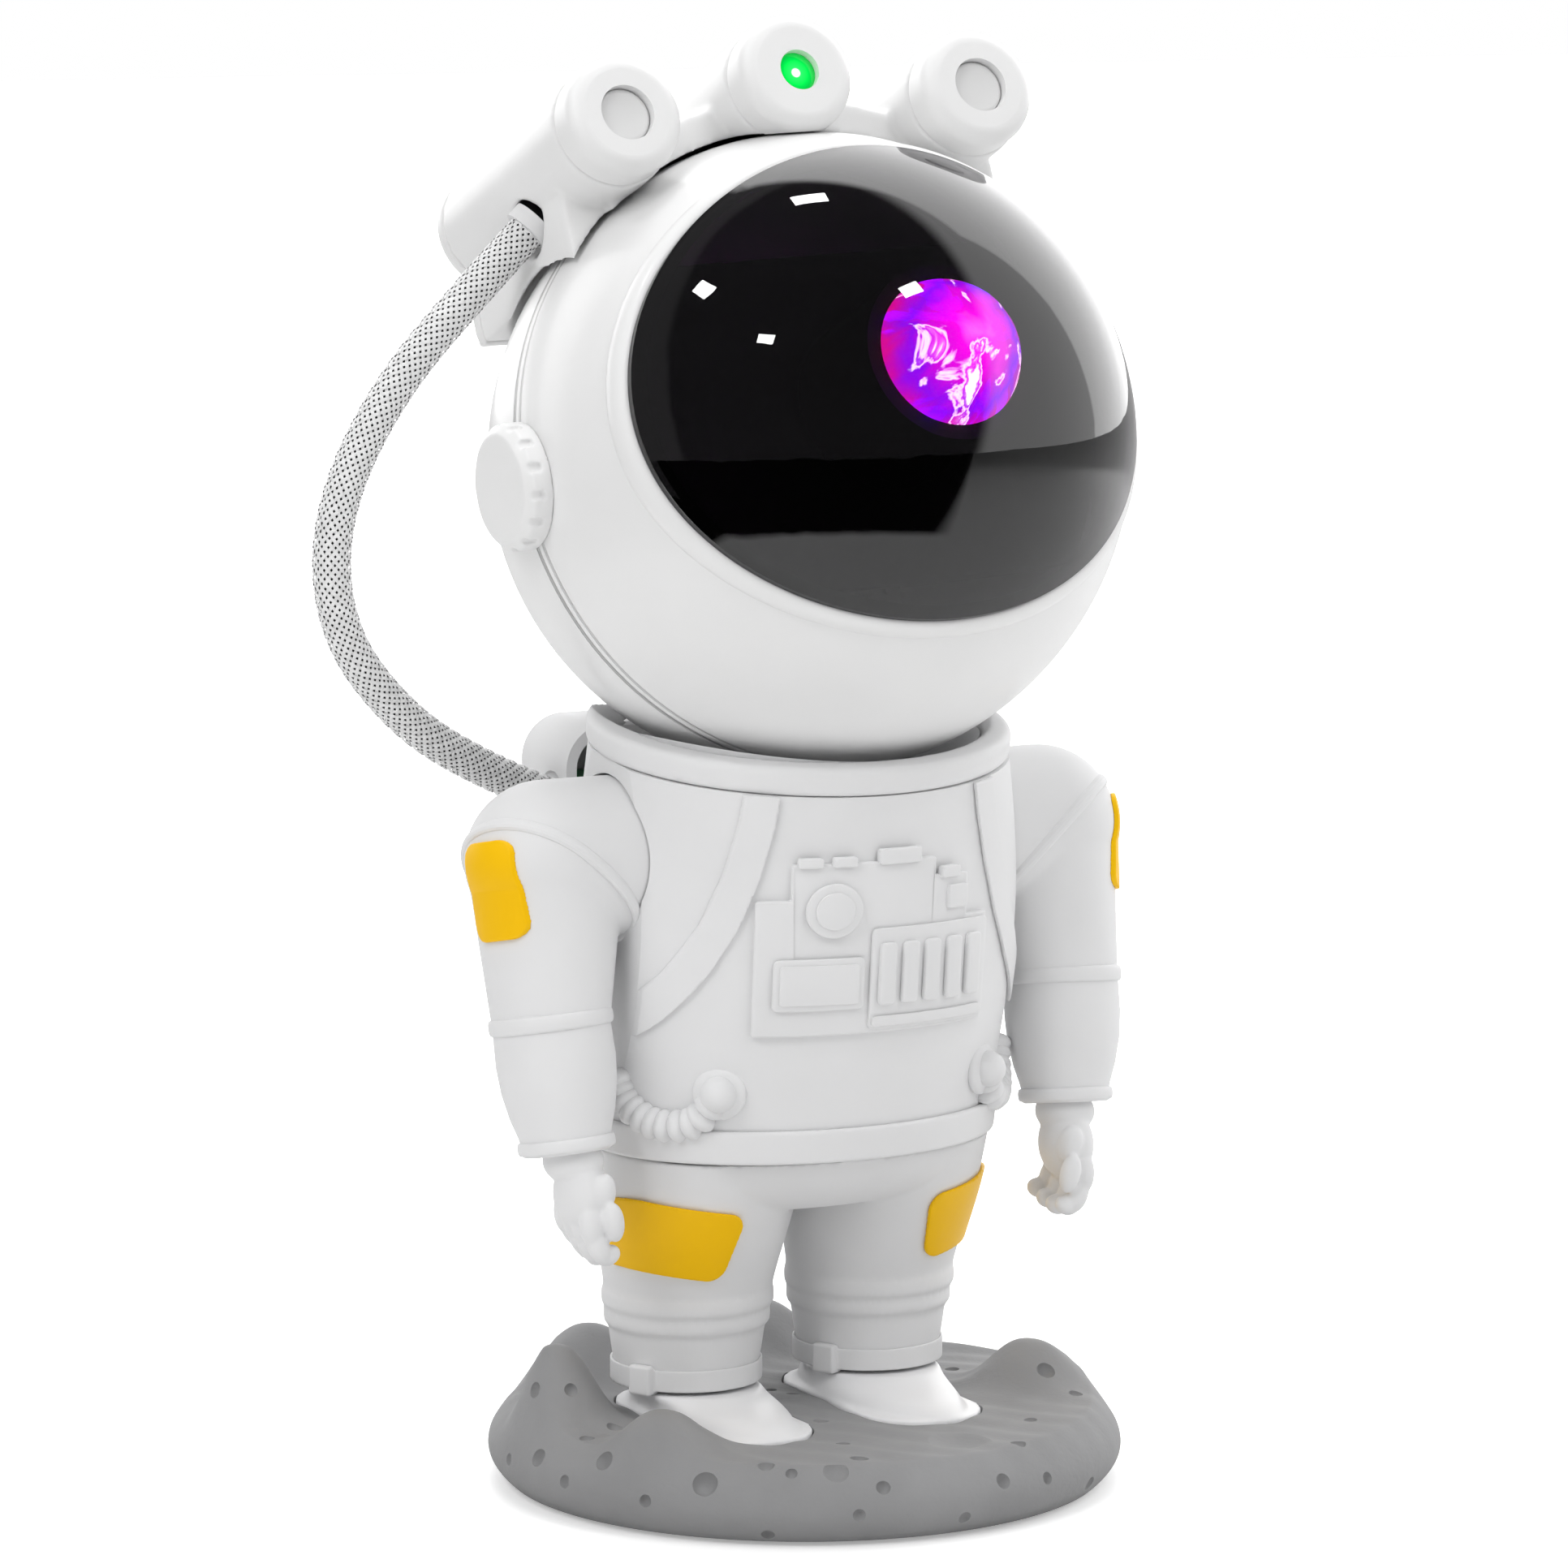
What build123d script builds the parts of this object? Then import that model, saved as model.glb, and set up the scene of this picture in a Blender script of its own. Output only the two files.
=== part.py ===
"""Astronaut-shaped star and nebula projector on a moon base: one STEP per piece, millimetres, +Z up.

The origin is on the bottom of the base, under the figure. The figure faces -Y, so its right arm is at -X.
"""

import os
from math import cos, degrees, pi, radians, sin, sqrt

from build123d import *

# ---- fits and walls -------------------------------------------------------------------------
WALL = 2.0                 # injection-moulded shells
GAP = 0.35                 # between pieces that move on each other
SNAP = 0.1                 # between pieces that are clipped or glued together
SHAFT_FIT = 0.05           # radial clearance of a spindle in its bore

# ---- base ---------------------------------------------------------------------------------
BASE_X = 3.6               # centre of the moon disc, a little to the figure's left
BASE_R = 46.5              # bottom rim
BASE_BULGE = 3.0           # how far the side stands out past the rim
BASE_TOP_Z = 12.0          # the plain between the hills
PLATE_T = 2.0
PAD_R = 36.0
PAD_T = 0.6
POCKET_FLOOR_Z = 9.0
HILLS = [                  # x, y, top height, foot radius
    (-37.0, 5.0, 23.6, 12.0),
    (-19.0, 29.0, 20.0, 13.0),
    (14.0, 35.0, 18.5, 12.0),
    (40.5, -6.0, 18.8, 11.0),
    (-31.0, -22.0, 17.6, 12.0),
]
CRATER_X, CRATER_Y, CRATER_R, CRATER_DEPTH = 14.5, -37.0, 5.5, 1.4
BASE_SCREW_R = 1.5
BASE_SCREW_PCR = 31.0      # screws stand on this radius about the disc's centre

# ---- legs and boots -------------------------------------------------------------------------
LEG_X = 16.0
BOOT_X = 14.8
BOOT_Y = -4.5
BOOT_HALF_W = 9.8
BOOT_HALF_L = 21.5
BOOT_SOLE_T = 3.4
SHAFT_R = 9.6              # boot's shaft, inside the trouser leg
ANKLE_Z = 16.4
LEG_SECTIONS = [           # height, half width, half depth, centre y
    (ANKLE_Z, 10.4, 10.4, 2.3),
    (22.0, 11.7, 11.6, 2.1),
    (28.5, 12.6, 12.4, 1.9),
    (36.0, 13.8, 14.0, 1.0),
    (46.0, 15.3, 17.0, -0.8),
    (54.6, 15.8, 19.5, -2.0),
]
LEG_SOCKET = [(ANKLE_Z - 1, *LEG_SECTIONS[0][1:]), LEG_SECTIONS[1]]     # holds the boot's neck
SOCKET_STEP = 0.4          # the socket is cut this much into the leg's inner wall
HIP_SECTIONS = [
    (45.5, 27.0, 15.0, -1.0),
    (49.0, 30.8, 20.5, -1.6),
    (54.6, 31.6, 23.5, -2.4),
]
KNEE_Z, KNEE_PITCH, KNEE_ROLL_R = 27.2, 3.0, 1.3
STRAP_Z, STRAP_H = 18.6, 3.4
BUCKLE_TURN = 62.0         # the buckles sit on the figure's right of each ankle

# ---- torso ----------------------------------------------------------------------------------
TORSO_SECTIONS = [
    (54.8, 31.9, 24.6, -2.6),
    (66.0, 33.0, 25.8, -3.0),
    (80.0, 34.8, 27.4, -3.6),
    (95.0, 35.4, 28.4, -4.0),
    (108.0, 34.2, 28.8, -4.4),
    (124.0, 32.6, 28.4, -4.6),
]
TORSO_FLAT_X = 32.4        # flattened sides where the arms hang
TORSO_SPLIT_Y = -1.0       # front and back halves meet here
HEM_Z, HEM_H, HEM_T = 54.8, 5.3, 0.9
STRAP_W = 4.6
HARNESS_ROUTE = [          # x, z on the torso's front
    (18.4, 116.0), (19.6, 108.0), (21.6, 100.0), (24.4, 92.0), (28.2, 84.5), (32.4, 78.0), (35.0, 74.6),
]
WAIST_HOSE_R, WAIST_BALL_R, WAIST_HOSE_BEND = 2.2, 3.3, 1.6
WAIST_HOSE_ROUTE = [(22.6, 66.2), (25.4, 62.4), (28.6, 62.4), (30.8, 65.6)]   # x, z on the torso's front
COLLAR_FRONT_Z = 111.0     # lower edge of the collar band at its front
COLLAR_TILT = 8.5          # the collar rises towards the back
COLLAR_H = 4.4
COLLAR_HALF_X, COLLAR_HALF_Y, COLLAR_Y = 33.4, 29.4, -4.6

# ---- shoulders and arms -----------------------------------------------------------------------
SHOULDER_X, SHOULDER_Y, SHOULDER_Z = 42.8, -4.0, 100.4
SHOULDER_R = 12.3
ARM_SEAT_X = 29.0          # flat seat of the arm in the torso's side
ELBOW = (44.4, -8.8, 76.8)
ELBOW_R = 9.0
CUFF = (43.4, -12.2, 57.6)
CUFF_R = 6.9
HAND = (42.2, -14.8, 44.4)
PIVOT_R = 2.5
PIVOT_HEAD_R = 5.0

# ---- backpack -------------------------------------------------------------------------------
PACK_HALF_X, PACK_Y0, PACK_Y1, PACK_Z0, PACK_Z1 = 27.0, 21.0, 38.0, 66.0, 117.0
PACK_WALL = 1.8
BUTTON_R, BUTTON_TRAVEL, BUTTON_X, BUTTON_Z = 4.0, 0.8, 9.0, 100.0
USB_W, USB_H, USB_Z = 9.0, 3.4, 74.0

# ---- head -----------------------------------------------------------------------------------
HEAD = (1.4, -4.8, 159.8)  # centre of the helmet, where the head's two turning axes cross
HEAD_YAW, HEAD_PITCH, HEAD_ROLL = -0.97, 23.0, -3.2
HELMET_R = 48.6
HELMET_FRONT = 52.6        # half depth of the front half
HELMET_T = 2.2
VISOR_A, VISOR_B = 42.0, 37.0
VISOR_BULGE = 0.8
VISOR_T = 1.6
RING_T = 1.5
EAR_R, EAR_T = 9.6, 5.6
SEAT_R = 50.4              # dished neck under the helmet
LENS_X, LENS_Y, LENS_Z, LENS_R = 4.3, -38.6, 1.7, 11.6

# ---- crown lamps ----------------------------------------------------------------------------
SIDE_TUBE_X, SIDE_TUBE_Z, MID_TUBE_Z = 30.2, 48.2, 52.8
TUBE_R, TUBE_BORE_R = 9.6, 8.0
TUBE_FRONT_Y, TUBE_BACK_Y = -20.0, 24.0
CAP_R, CAP_BORE_R, CAP_FRONT_Y = 9.3, 4.3, -26.0
SADDLE_R = 54.6
SADDLE_GAP = 1.0           # between the crown and the helmet

# ---- optics and drives ------------------------------------------------------------------------
WHEEL_TEETH, PINION_TEETH, MODULE = 60, 12, 0.5
WHEEL_Y, WHEEL_T = -14.0, 1.6
GRATING_TEETH, GRATING_PINION_TEETH, GRATING_MODULE = 30, 10, 0.26
GRATING_Y, GRATING_T = -14.0, 1.2
SPINDLE_R = 0.8

# ---- hose -----------------------------------------------------------------------------------
HOSE_R, HOSE_CORE_R = 2.9, 2.0
HOSE_ROUTE = [             # from the crown's underside to the backpack's side
    (-36.9, 10.4, 195.6),
    (-45.5, 11.6, 187.0),
    (-60.5, 13.6, 170.5),
    (-69.6, 14.6, 152.0),
    (-68.6, 15.0, 134.6),
    (-57.0, 17.4, 120.6),
    (-42.0, 21.4, 111.4),
    (-26.9, 26.6, 105.2),
]
HOSE_MIN_BEND = 5

os.makedirs("parts", exist_ok=True)


def save(shape, node):
    """Write one piece as parts/node.step."""
    solids = shape.solids()
    export_step(solids[0] if len(solids) == 1 else Compound(children=list(solids)), f"parts/{node}.step")
    return shape


def save_all(pieces, node):
    """Write several like pieces of one body as separate solids of one node."""
    return save(Compound(children=[solid for piece in pieces for solid in piece.solids()]), node)


def biggest(shape):
    return max(shape.solids(), key=lambda s: s.volume)


def oval(z, half_x, half_y, cx=0.0, cy=0.0):
    return Pos(cx, cy, z) * Ellipse(half_x, half_y)


def oval_loft(sections, inset=0.0, cx=0.0):
    return loft([oval(z, a - inset, b - inset, cx, y) for z, a, b, y in sections])


def bar(x0, x1, y0, y1, z0, z1):
    """A box between two opposite corners."""
    return Pos((x0 + x1) / 2, (y0 + y1) / 2, (z0 + z1) / 2) * Box(abs(x1 - x0), abs(y1 - y0), abs(z1 - z0))


def rod_x(x0, x1, y, z, r):
    return Pos((x0 + x1) / 2, y, z) * Rot(0, 90, 0) * Cylinder(r, abs(x1 - x0))


def rod_y(y0, y1, x, z, r):
    return Pos(x, (y0 + y1) / 2, z) * Rot(90, 0, 0) * Cylinder(r, abs(y1 - y0))


def rod_z(z0, z1, x, y, r):
    return Pos(x, y, (z0 + z1) / 2) * Cylinder(r, abs(z1 - z0))


def section_at(sections, z):
    """Half width, half depth and centre y of a lofted body at one height, read between its sections."""
    for low, high in zip(sections, sections[1:]):
        if z <= high[0]:
            break
    t = (z - low[0]) / (high[0] - low[0])
    return [low[i] + t * (high[i] - low[i]) for i in (1, 2, 3)]


def side_name(side):
    return "right" if side < 0 else "left"


def on_head(shape):
    """Put a piece drawn in the head's own frame (forward -Y, up +Z) where the head is at rest."""
    return Pos(*HEAD) * Rot(0, 0, HEAD_YAW) * Rot(-HEAD_PITCH, 0, 0) * Rot(0, HEAD_ROLL, 0) * shape


# ---- moon base --------------------------------------------------------------------------------
def hill(x, y, top, foot):
    """A rounded cone that rises out of the plain."""
    low = BASE_TOP_Z - 3
    tip = foot * 0.3
    profile = make_face(
        Polyline((0, low), (foot, low), (foot * 0.92, BASE_TOP_Z), (tip, top - tip * 0.35),
                 (0, top), (0, low))
    )
    cone = revolve(Plane.XZ * profile, Axis.Z)
    return Pos(x, y, 0) * cone


def boot_foot(x, grow=0.0, z0=POCKET_FLOOR_Z, height=BOOT_SOLE_T):
    """The stadium-shaped sole of one boot."""
    w = BOOT_HALF_W + grow
    sole = Pos(x, BOOT_Y, z0) * SlotOverall(2 * (BOOT_HALF_L + grow), 2 * w, rotation=90)
    return extrude(sole, height)


def base_outline(inset=0.0):
    """The moon disc's side, bulging past its bottom rim."""
    r = BASE_R - inset
    bulge = r + BASE_BULGE
    top = BASE_TOP_Z - inset
    low = PLATE_T + PAD_T if inset else PAD_T
    with BuildSketch(Plane.XZ) as half:
        with BuildLine():
            Polyline((0, top), (0, low), (r, low))
            ThreePointArc((r, low), (bulge, top * 0.45), (bulge - 4.5, top))
            Line((bulge - 4.5, top), (0, top))
        make_face()
    return Pos(BASE_X, 0, 0) * revolve(half.sketch, Axis.Z)


def base_screw_spots():
    angles = [pi / 4 + i * pi / 2 for i in range(4)]
    return [(BASE_X + BASE_SCREW_PCR * cos(a), BASE_SCREW_PCR * sin(a)) for a in angles]


def make_base():
    shell = base_outline()
    for spec in HILLS:
        shell += hill(*spec)
    shell -= base_outline(WALL)
    shell -= rod_z(PAD_T - 1, PAD_T + PLATE_T, BASE_X, 0, BASE_R - WALL)
    post_z0 = PAD_T + PLATE_T
    for x, y in base_screw_spots():
        shell += rod_z(post_z0, BASE_TOP_Z - WALL / 2, x, y, 2 * BASE_SCREW_R)
    for x in (-BOOT_X, BOOT_X):
        shell += boot_foot(x, WALL, POCKET_FLOOR_Z - WALL, BASE_TOP_Z - POCKET_FLOOR_Z + WALL - 0.4)
    for x in (-BOOT_X, BOOT_X):
        shell -= boot_foot(x, GAP, POCKET_FLOOR_Z, 12)
    crater_ball_r = (CRATER_R**2 + CRATER_DEPTH**2) / (2 * CRATER_DEPTH)
    shell -= Pos(CRATER_X, CRATER_Y, BASE_TOP_Z - CRATER_DEPTH + crater_ball_r) * Sphere(crater_ball_r)
    for x, y in base_screw_spots():
        shell -= rod_z(post_z0 - 1, post_z0 + 4.4, x, y, BASE_SCREW_R)
    save(shell, "base_shell")

    plate = rod_z(PAD_T, PAD_T + PLATE_T, BASE_X, 0, BASE_R - WALL - SNAP)
    screws = []
    for x, y in base_screw_spots():
        head_r = 1.8 * BASE_SCREW_R
        plate -= rod_z(PAD_T - 1, PAD_T + 3, x, y, BASE_SCREW_R + SNAP)
        plate -= rod_z(PAD_T - 1, PAD_T + 1, x, y, head_r + SNAP)
        screw = rod_z(PAD_T, PAD_T + 1, x, y, head_r)
        screws.append(screw + rod_z(PAD_T + 1, PAD_T + PLATE_T + 4, x, y, BASE_SCREW_R))
    save(plate, "base_plate")
    save(Compound(children=screws), "base_screws")
    pad = rod_z(0, PAD_T, BASE_X, 0, PAD_R)
    for x, y in base_screw_spots():
        pad -= rod_z(-1, PAD_T + 1, x, y, 1.8 * BASE_SCREW_R + SNAP)
    save(pad, "foot_pad")


# ---- legs and boots -----------------------------------------------------------------------------
def make_boot(side):
    """One boot: sole in its pocket, rounded foot and a shaft plugged into the trouser leg."""
    x = side * BOOT_X
    boot = boot_foot(x)
    sole_top = POCKET_FLOOR_Z + BOOT_SOLE_T
    instep = loft([
        Pos(x, BOOT_Y, sole_top) * Ellipse(BOOT_HALF_W - 0.1, BOOT_HALF_L - 0.2),
        Pos(x, BOOT_Y + 0.8, sole_top + 1.5) * Ellipse(BOOT_HALF_W - 0.5, BOOT_HALF_L - 1.8),
        Pos(x + side * 0.6, BOOT_Y + 3.6, sole_top + 2.9) * Ellipse(BOOT_HALF_W - 0.2, BOOT_HALF_L - 6.4),
        Pos(side * (LEG_X - 0.2), 1.6, ANKLE_Z + 1.5) * Ellipse(SHAFT_R + 0.9, SHAFT_R + 1.6),
    ])
    leg_hole = oval_loft(LEG_SOCKET, WALL - SOCKET_STEP + SNAP, side * LEG_X)
    boot += instep & rod_z(POCKET_FLOOR_Z, ANKLE_Z - SNAP, x, 0, 60)
    neck_top = ANKLE_Z + 6
    boot += leg_hole & rod_z(ANKLE_Z - 1, neck_top, side * LEG_X, 0, 30)
    boot += rod_z(ANKLE_Z - 2, ANKLE_Z + 1, side * LEG_X, LEG_SECTIONS[0][3], SHAFT_R - WALL)
    save(boot, f"boot_{side_name(side)}")


def make_trousers():
    """Hips and both legs in one hollow moulding, open at the waist and at the ankles."""
    def body(inset):
        solid = oval_loft(HIP_SECTIONS, inset)
        for side in (-1, 1):
            solid += oval_loft(LEG_SECTIONS, inset, side * LEG_X)
        return solid

    trousers = body(0.0)
    for side in (-1, 1):
        for k in range(2):
            z = KNEE_Z + k * KNEE_PITCH
            a, b, y = section_at(LEG_SECTIONS, z)
            ring = extrude(oval(z - KNEE_ROLL_R, a + 0.5, b + 0.5, side * LEG_X, y), 2 * KNEE_ROLL_R)
            trousers += fillet(ring.edges(), 0.45)
    waist = body(WALL)
    trousers -= waist
    for side in (-1, 1):
        trousers -= oval_loft(LEG_SOCKET, WALL - SOCKET_STEP, side * LEG_X)
    save(trousers, "trousers")

    straps, patches = [], []
    for side in (-1, 1):
        a, b, y = section_at(LEG_SECTIONS, STRAP_Z)
        band = extrude(oval(STRAP_Z - STRAP_H / 2, a + 0.9, b + 0.9, side * LEG_X, y), STRAP_H)
        buckle = fillet(Box(4.0, 2.8, STRAP_H + 1.2).edges(), 0.4)
        strap = band + Pos(side * LEG_X, y, STRAP_Z) * Rot(0, 0, -BUCKLE_TURN) * Pos(0, -b - 0.6, 0) * buckle
        strap -= oval_loft(LEG_SECTIONS, 0.0, side * LEG_X)
        straps.append(strap)

        # yellow patch laid on the front of the thigh
        skin = oval_loft(LEG_SECTIONS, -0.7, side * LEG_X) + oval_loft(HIP_SECTIONS, -0.7)
        window = fillet(Box(16.6, 40, 11.4).edges().filter_by(Axis.Y), 2.6)
        patch = skin & (Pos(side * 25.0, -20, 41.6) * Rot(0, -9 * side, 0) * window)
        patch -= body(0.0)
        patch = patch & bar(-60, 60, -40, -1, 30, 54)
        patches.append(biggest(patch))
    save_all(straps, "ankle_straps")
    save_all(patches, "thigh_patches")


# ---- torso ------------------------------------------------------------------------------------
def collar_plane_z(y):
    front = COLLAR_Y - COLLAR_HALF_Y
    return COLLAR_FRONT_Z + (y - front) * sin(radians(COLLAR_TILT)) / cos(radians(COLLAR_TILT))


def under_collar(lift=0.0):
    """Everything below the tilted plane on which the collar band stands."""
    slab = Pos(0, 0, -60) * Box(200, 200, 120)
    return Pos(0, 0, collar_plane_z(0) + lift) * Rot(COLLAR_TILT, 0, 0) * slab


def torso_solid(inset):
    body = oval_loft(TORSO_SECTIONS, inset)
    flat = TORSO_FLAT_X - inset
    body = body & bar(-flat, flat, -60, 60, 40, 140)
    body = body & under_collar(-inset)
    if inset:
        body -= bar(-60, 60, -60, 60, 40, TORSO_SECTIONS[0][0] - 1)
    seat = ARM_SEAT_X - inset
    for side in (-1, 1):
        x0, x1 = side * seat, side * 60
        body -= rod_x(x0, x1, SHOULDER_Y, SHOULDER_Z, SHOULDER_R + GAP + inset)
    return body


def make_torso():
    """Two half shells, split by a plane across the figure, with the arms' pivot bores."""
    shell = torso_solid(0.0) - torso_solid(WALL)
    shell -= bar(-28, 28, -26, 20, 50, TORSO_SECTIONS[0][0] + WALL + 1)
    for side in (-1, 1):
        shell -= rod_x(side * 20, side * 34, SHOULDER_Y, SHOULDER_Z, PIVOT_R + SHAFT_FIT)
    opening = Pos(HEAD[0], HEAD[1], 118) * Cylinder(19, 40)
    shell -= opening
    shell -= Pos(*HEAD) * Sphere(SEAT_R + WALL + SNAP)
    shell -= bar(-10, 10, 10, 40, 84, 96)
    front = shell & bar(-60, 60, -60, TORSO_SPLIT_Y, 40, 140)
    back = shell & bar(-60, 60, TORSO_SPLIT_Y, 60, 40, 140)
    save(front, "torso_front")
    save(back, "torso_back")

    # collar band round the neck opening, trimmed clear of the helmet
    def band(half_x, half_y, height):
        return extrude(Pos(0, COLLAR_Y, 0) * Ellipse(half_x, half_y), height)

    ring = band(COLLAR_HALF_X, COLLAR_HALF_Y, COLLAR_H)
    ring = fillet(ring.edges(), 1.2)
    ring -= band(COLLAR_HALF_X - 4.6, COLLAR_HALF_Y - 4.6, 20)
    ring = Pos(0, 0, collar_plane_z(0)) * Rot(COLLAR_TILT, 0, 0) * ring
    ring -= Pos(*HEAD) * Sphere(SEAT_R)
    save(ring, "collar_ring")

    # dished neck under the helmet, with the bore for the turning magnet seat
    dish = Pos(*HEAD) * Sphere(SEAT_R + WALL) - Pos(*HEAD) * Sphere(SEAT_R)
    dish = dish & bar(-60, 60, -60, 60, 90, HEAD[2] - 33)
    inner = Pos(0, 0, collar_plane_z(0)) * Rot(COLLAR_TILT, 0, 0) * Pos(0, 0, -14) * band(
        COLLAR_HALF_X - 4.8, COLLAR_HALF_Y - 4.8, 30)
    dish = dish & inner
    seat_z = HEAD[2] - SEAT_R
    dish += rod_z(seat_z - 7, seat_z - 0.2, HEAD[0], HEAD[1], 15) - Pos(*HEAD) * Sphere(SEAT_R)
    dish -= rod_z(seat_z - 5, seat_z + 9, HEAD[0], HEAD[1], 12 + SHAFT_FIT)
    dish -= rod_z(seat_z - 9, seat_z + 9, HEAD[0], HEAD[1], 3 + GAP)
    dish = dish - (shell & dish)
    save(dish, "neck_dish")

    holder = rod_z(seat_z - 5, seat_z - 0.6, HEAD[0], HEAD[1], 12)
    holder += rod_z(seat_z - 9, seat_z - 4, HEAD[0], HEAD[1], 3)
    magnet_r = 8.0
    holder -= rod_z(seat_z - 3.4, seat_z + 2, HEAD[0], HEAD[1], magnet_r)
    save(holder, "magnet_holder")
    magnet = rod_z(seat_z - 3.4, HEAD[2] - HELMET_R - 1.0, HEAD[0], HEAD[1], magnet_r)
    save(fillet(magnet.edges().sort_by(Axis.Z)[-1], 0.8), "neck_magnet")


def make_torso_trim():
    """Hem band, harness straps, chest panel and the two waist hoses moulded on the front."""
    z0, a, b, y = TORSO_SECTIONS[0]
    hem = loft([
        oval(HEM_Z, a + HEM_T, b + HEM_T, 0, y),
        oval(HEM_Z + HEM_H, section_at(TORSO_SECTIONS, HEM_Z + HEM_H)[0] + HEM_T,
             section_at(TORSO_SECTIONS, HEM_Z + HEM_H)[1] + HEM_T, 0, y - 0.2),
    ])
    hem = fillet(hem.edges(), 0.5) - torso_solid(0.0)
    hem -= bar(-60, 60, -60, 60, 40, HEM_Z)
    hem -= oval_loft([(HEM_Z - 1, a - 0.1, b - 0.1, y), (HEM_Z + HEM_H + 1, a + 0.3, b + 0.3, y - 0.2)])
    save(biggest(hem), "hem_band")

    skin = oval_loft(TORSO_SECTIONS, -0.8) & bar(-TORSO_FLAT_X, TORSO_FLAT_X, -60, -8, 40, 140)
    skin = skin & under_collar()
    straps = []
    for side in (-1, 1):
        outer_edge = [(side * (x + STRAP_W / 2), z) for x, z in HARNESS_ROUTE]
        inner_edge = [(side * (x - STRAP_W / 2), z - 0.8) for x, z in reversed(HARNESS_ROUTE)]
        strip = make_face(Polyline(*outer_edge, *inner_edge, outer_edge[0]))
        strap = (skin & extrude(Plane.XZ * strip, 60)) - torso_solid(0.0)
        for other in (-1, 1):
            strap -= rod_x(other * (ARM_SEAT_X - 1), other * 60, SHOULDER_Y, SHOULDER_Z, SHOULDER_R + 2 * GAP)
        straps.append(biggest(strap))
    save_all(straps, "harness_straps")

    plate_skin = oval_loft(TORSO_SECTIONS, -1.6)
    outline = make_face(Polyline(
        (-18.6, 75.6), (18.6, 75.6), (18.6, 92.4), (15.4, 92.4), (15.4, 98.2), (10.6, 98.2), (10.6, 100.2),
        (-12.6, 100.2), (-12.6, 94.0), (-18.6, 94.0), (-18.6, 75.6)))
    panel = (plate_skin & extrude(Plane.XZ * outline, 60)) - oval_loft(TORSO_SECTIONS)
    save(biggest(panel), "chest_panel")

    spots = []
    for x, z in WAIST_HOSE_ROUTE:
        half_x, half_y, cy = section_at(TORSO_SECTIONS, z)
        spots.append(Vector(x, cy - half_y * sqrt(1 - (x / half_x) ** 2), z))
    away = (spots[1] - spots[0]).normalized() * WAIST_BALL_R
    path = FilletPolyline(spots[0] + away, *spots[1:], radius=WAIST_HOSE_BEND)
    tube = sweep(Plane(origin=path @ 0, z_dir=path % 0) * Circle(WAIST_HOSE_R), path=path)
    ball = Pos(*spots[0]) * Sphere(WAIST_BALL_R)
    hoses = [tube, ball, mirror(tube, about=Plane.YZ), mirror(ball, about=Plane.YZ)]
    save_all(hoses, "waist_hoses")


# ---- arms -------------------------------------------------------------------------------------
def along(a, b):
    """A plane at a whose normal points at b."""
    return Plane(origin=a, z_dir=Vector(*b) - Vector(*a))


def arm_sleeve(shoulder, elbow, grow):
    """The upper arm between its ball shoulder and the elbow."""
    top = along(shoulder, elbow) * Circle(SHOULDER_R - 0.3 + grow)
    return loft([top, along(elbow, shoulder) * Circle(ELBOW_R + grow)])


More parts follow.
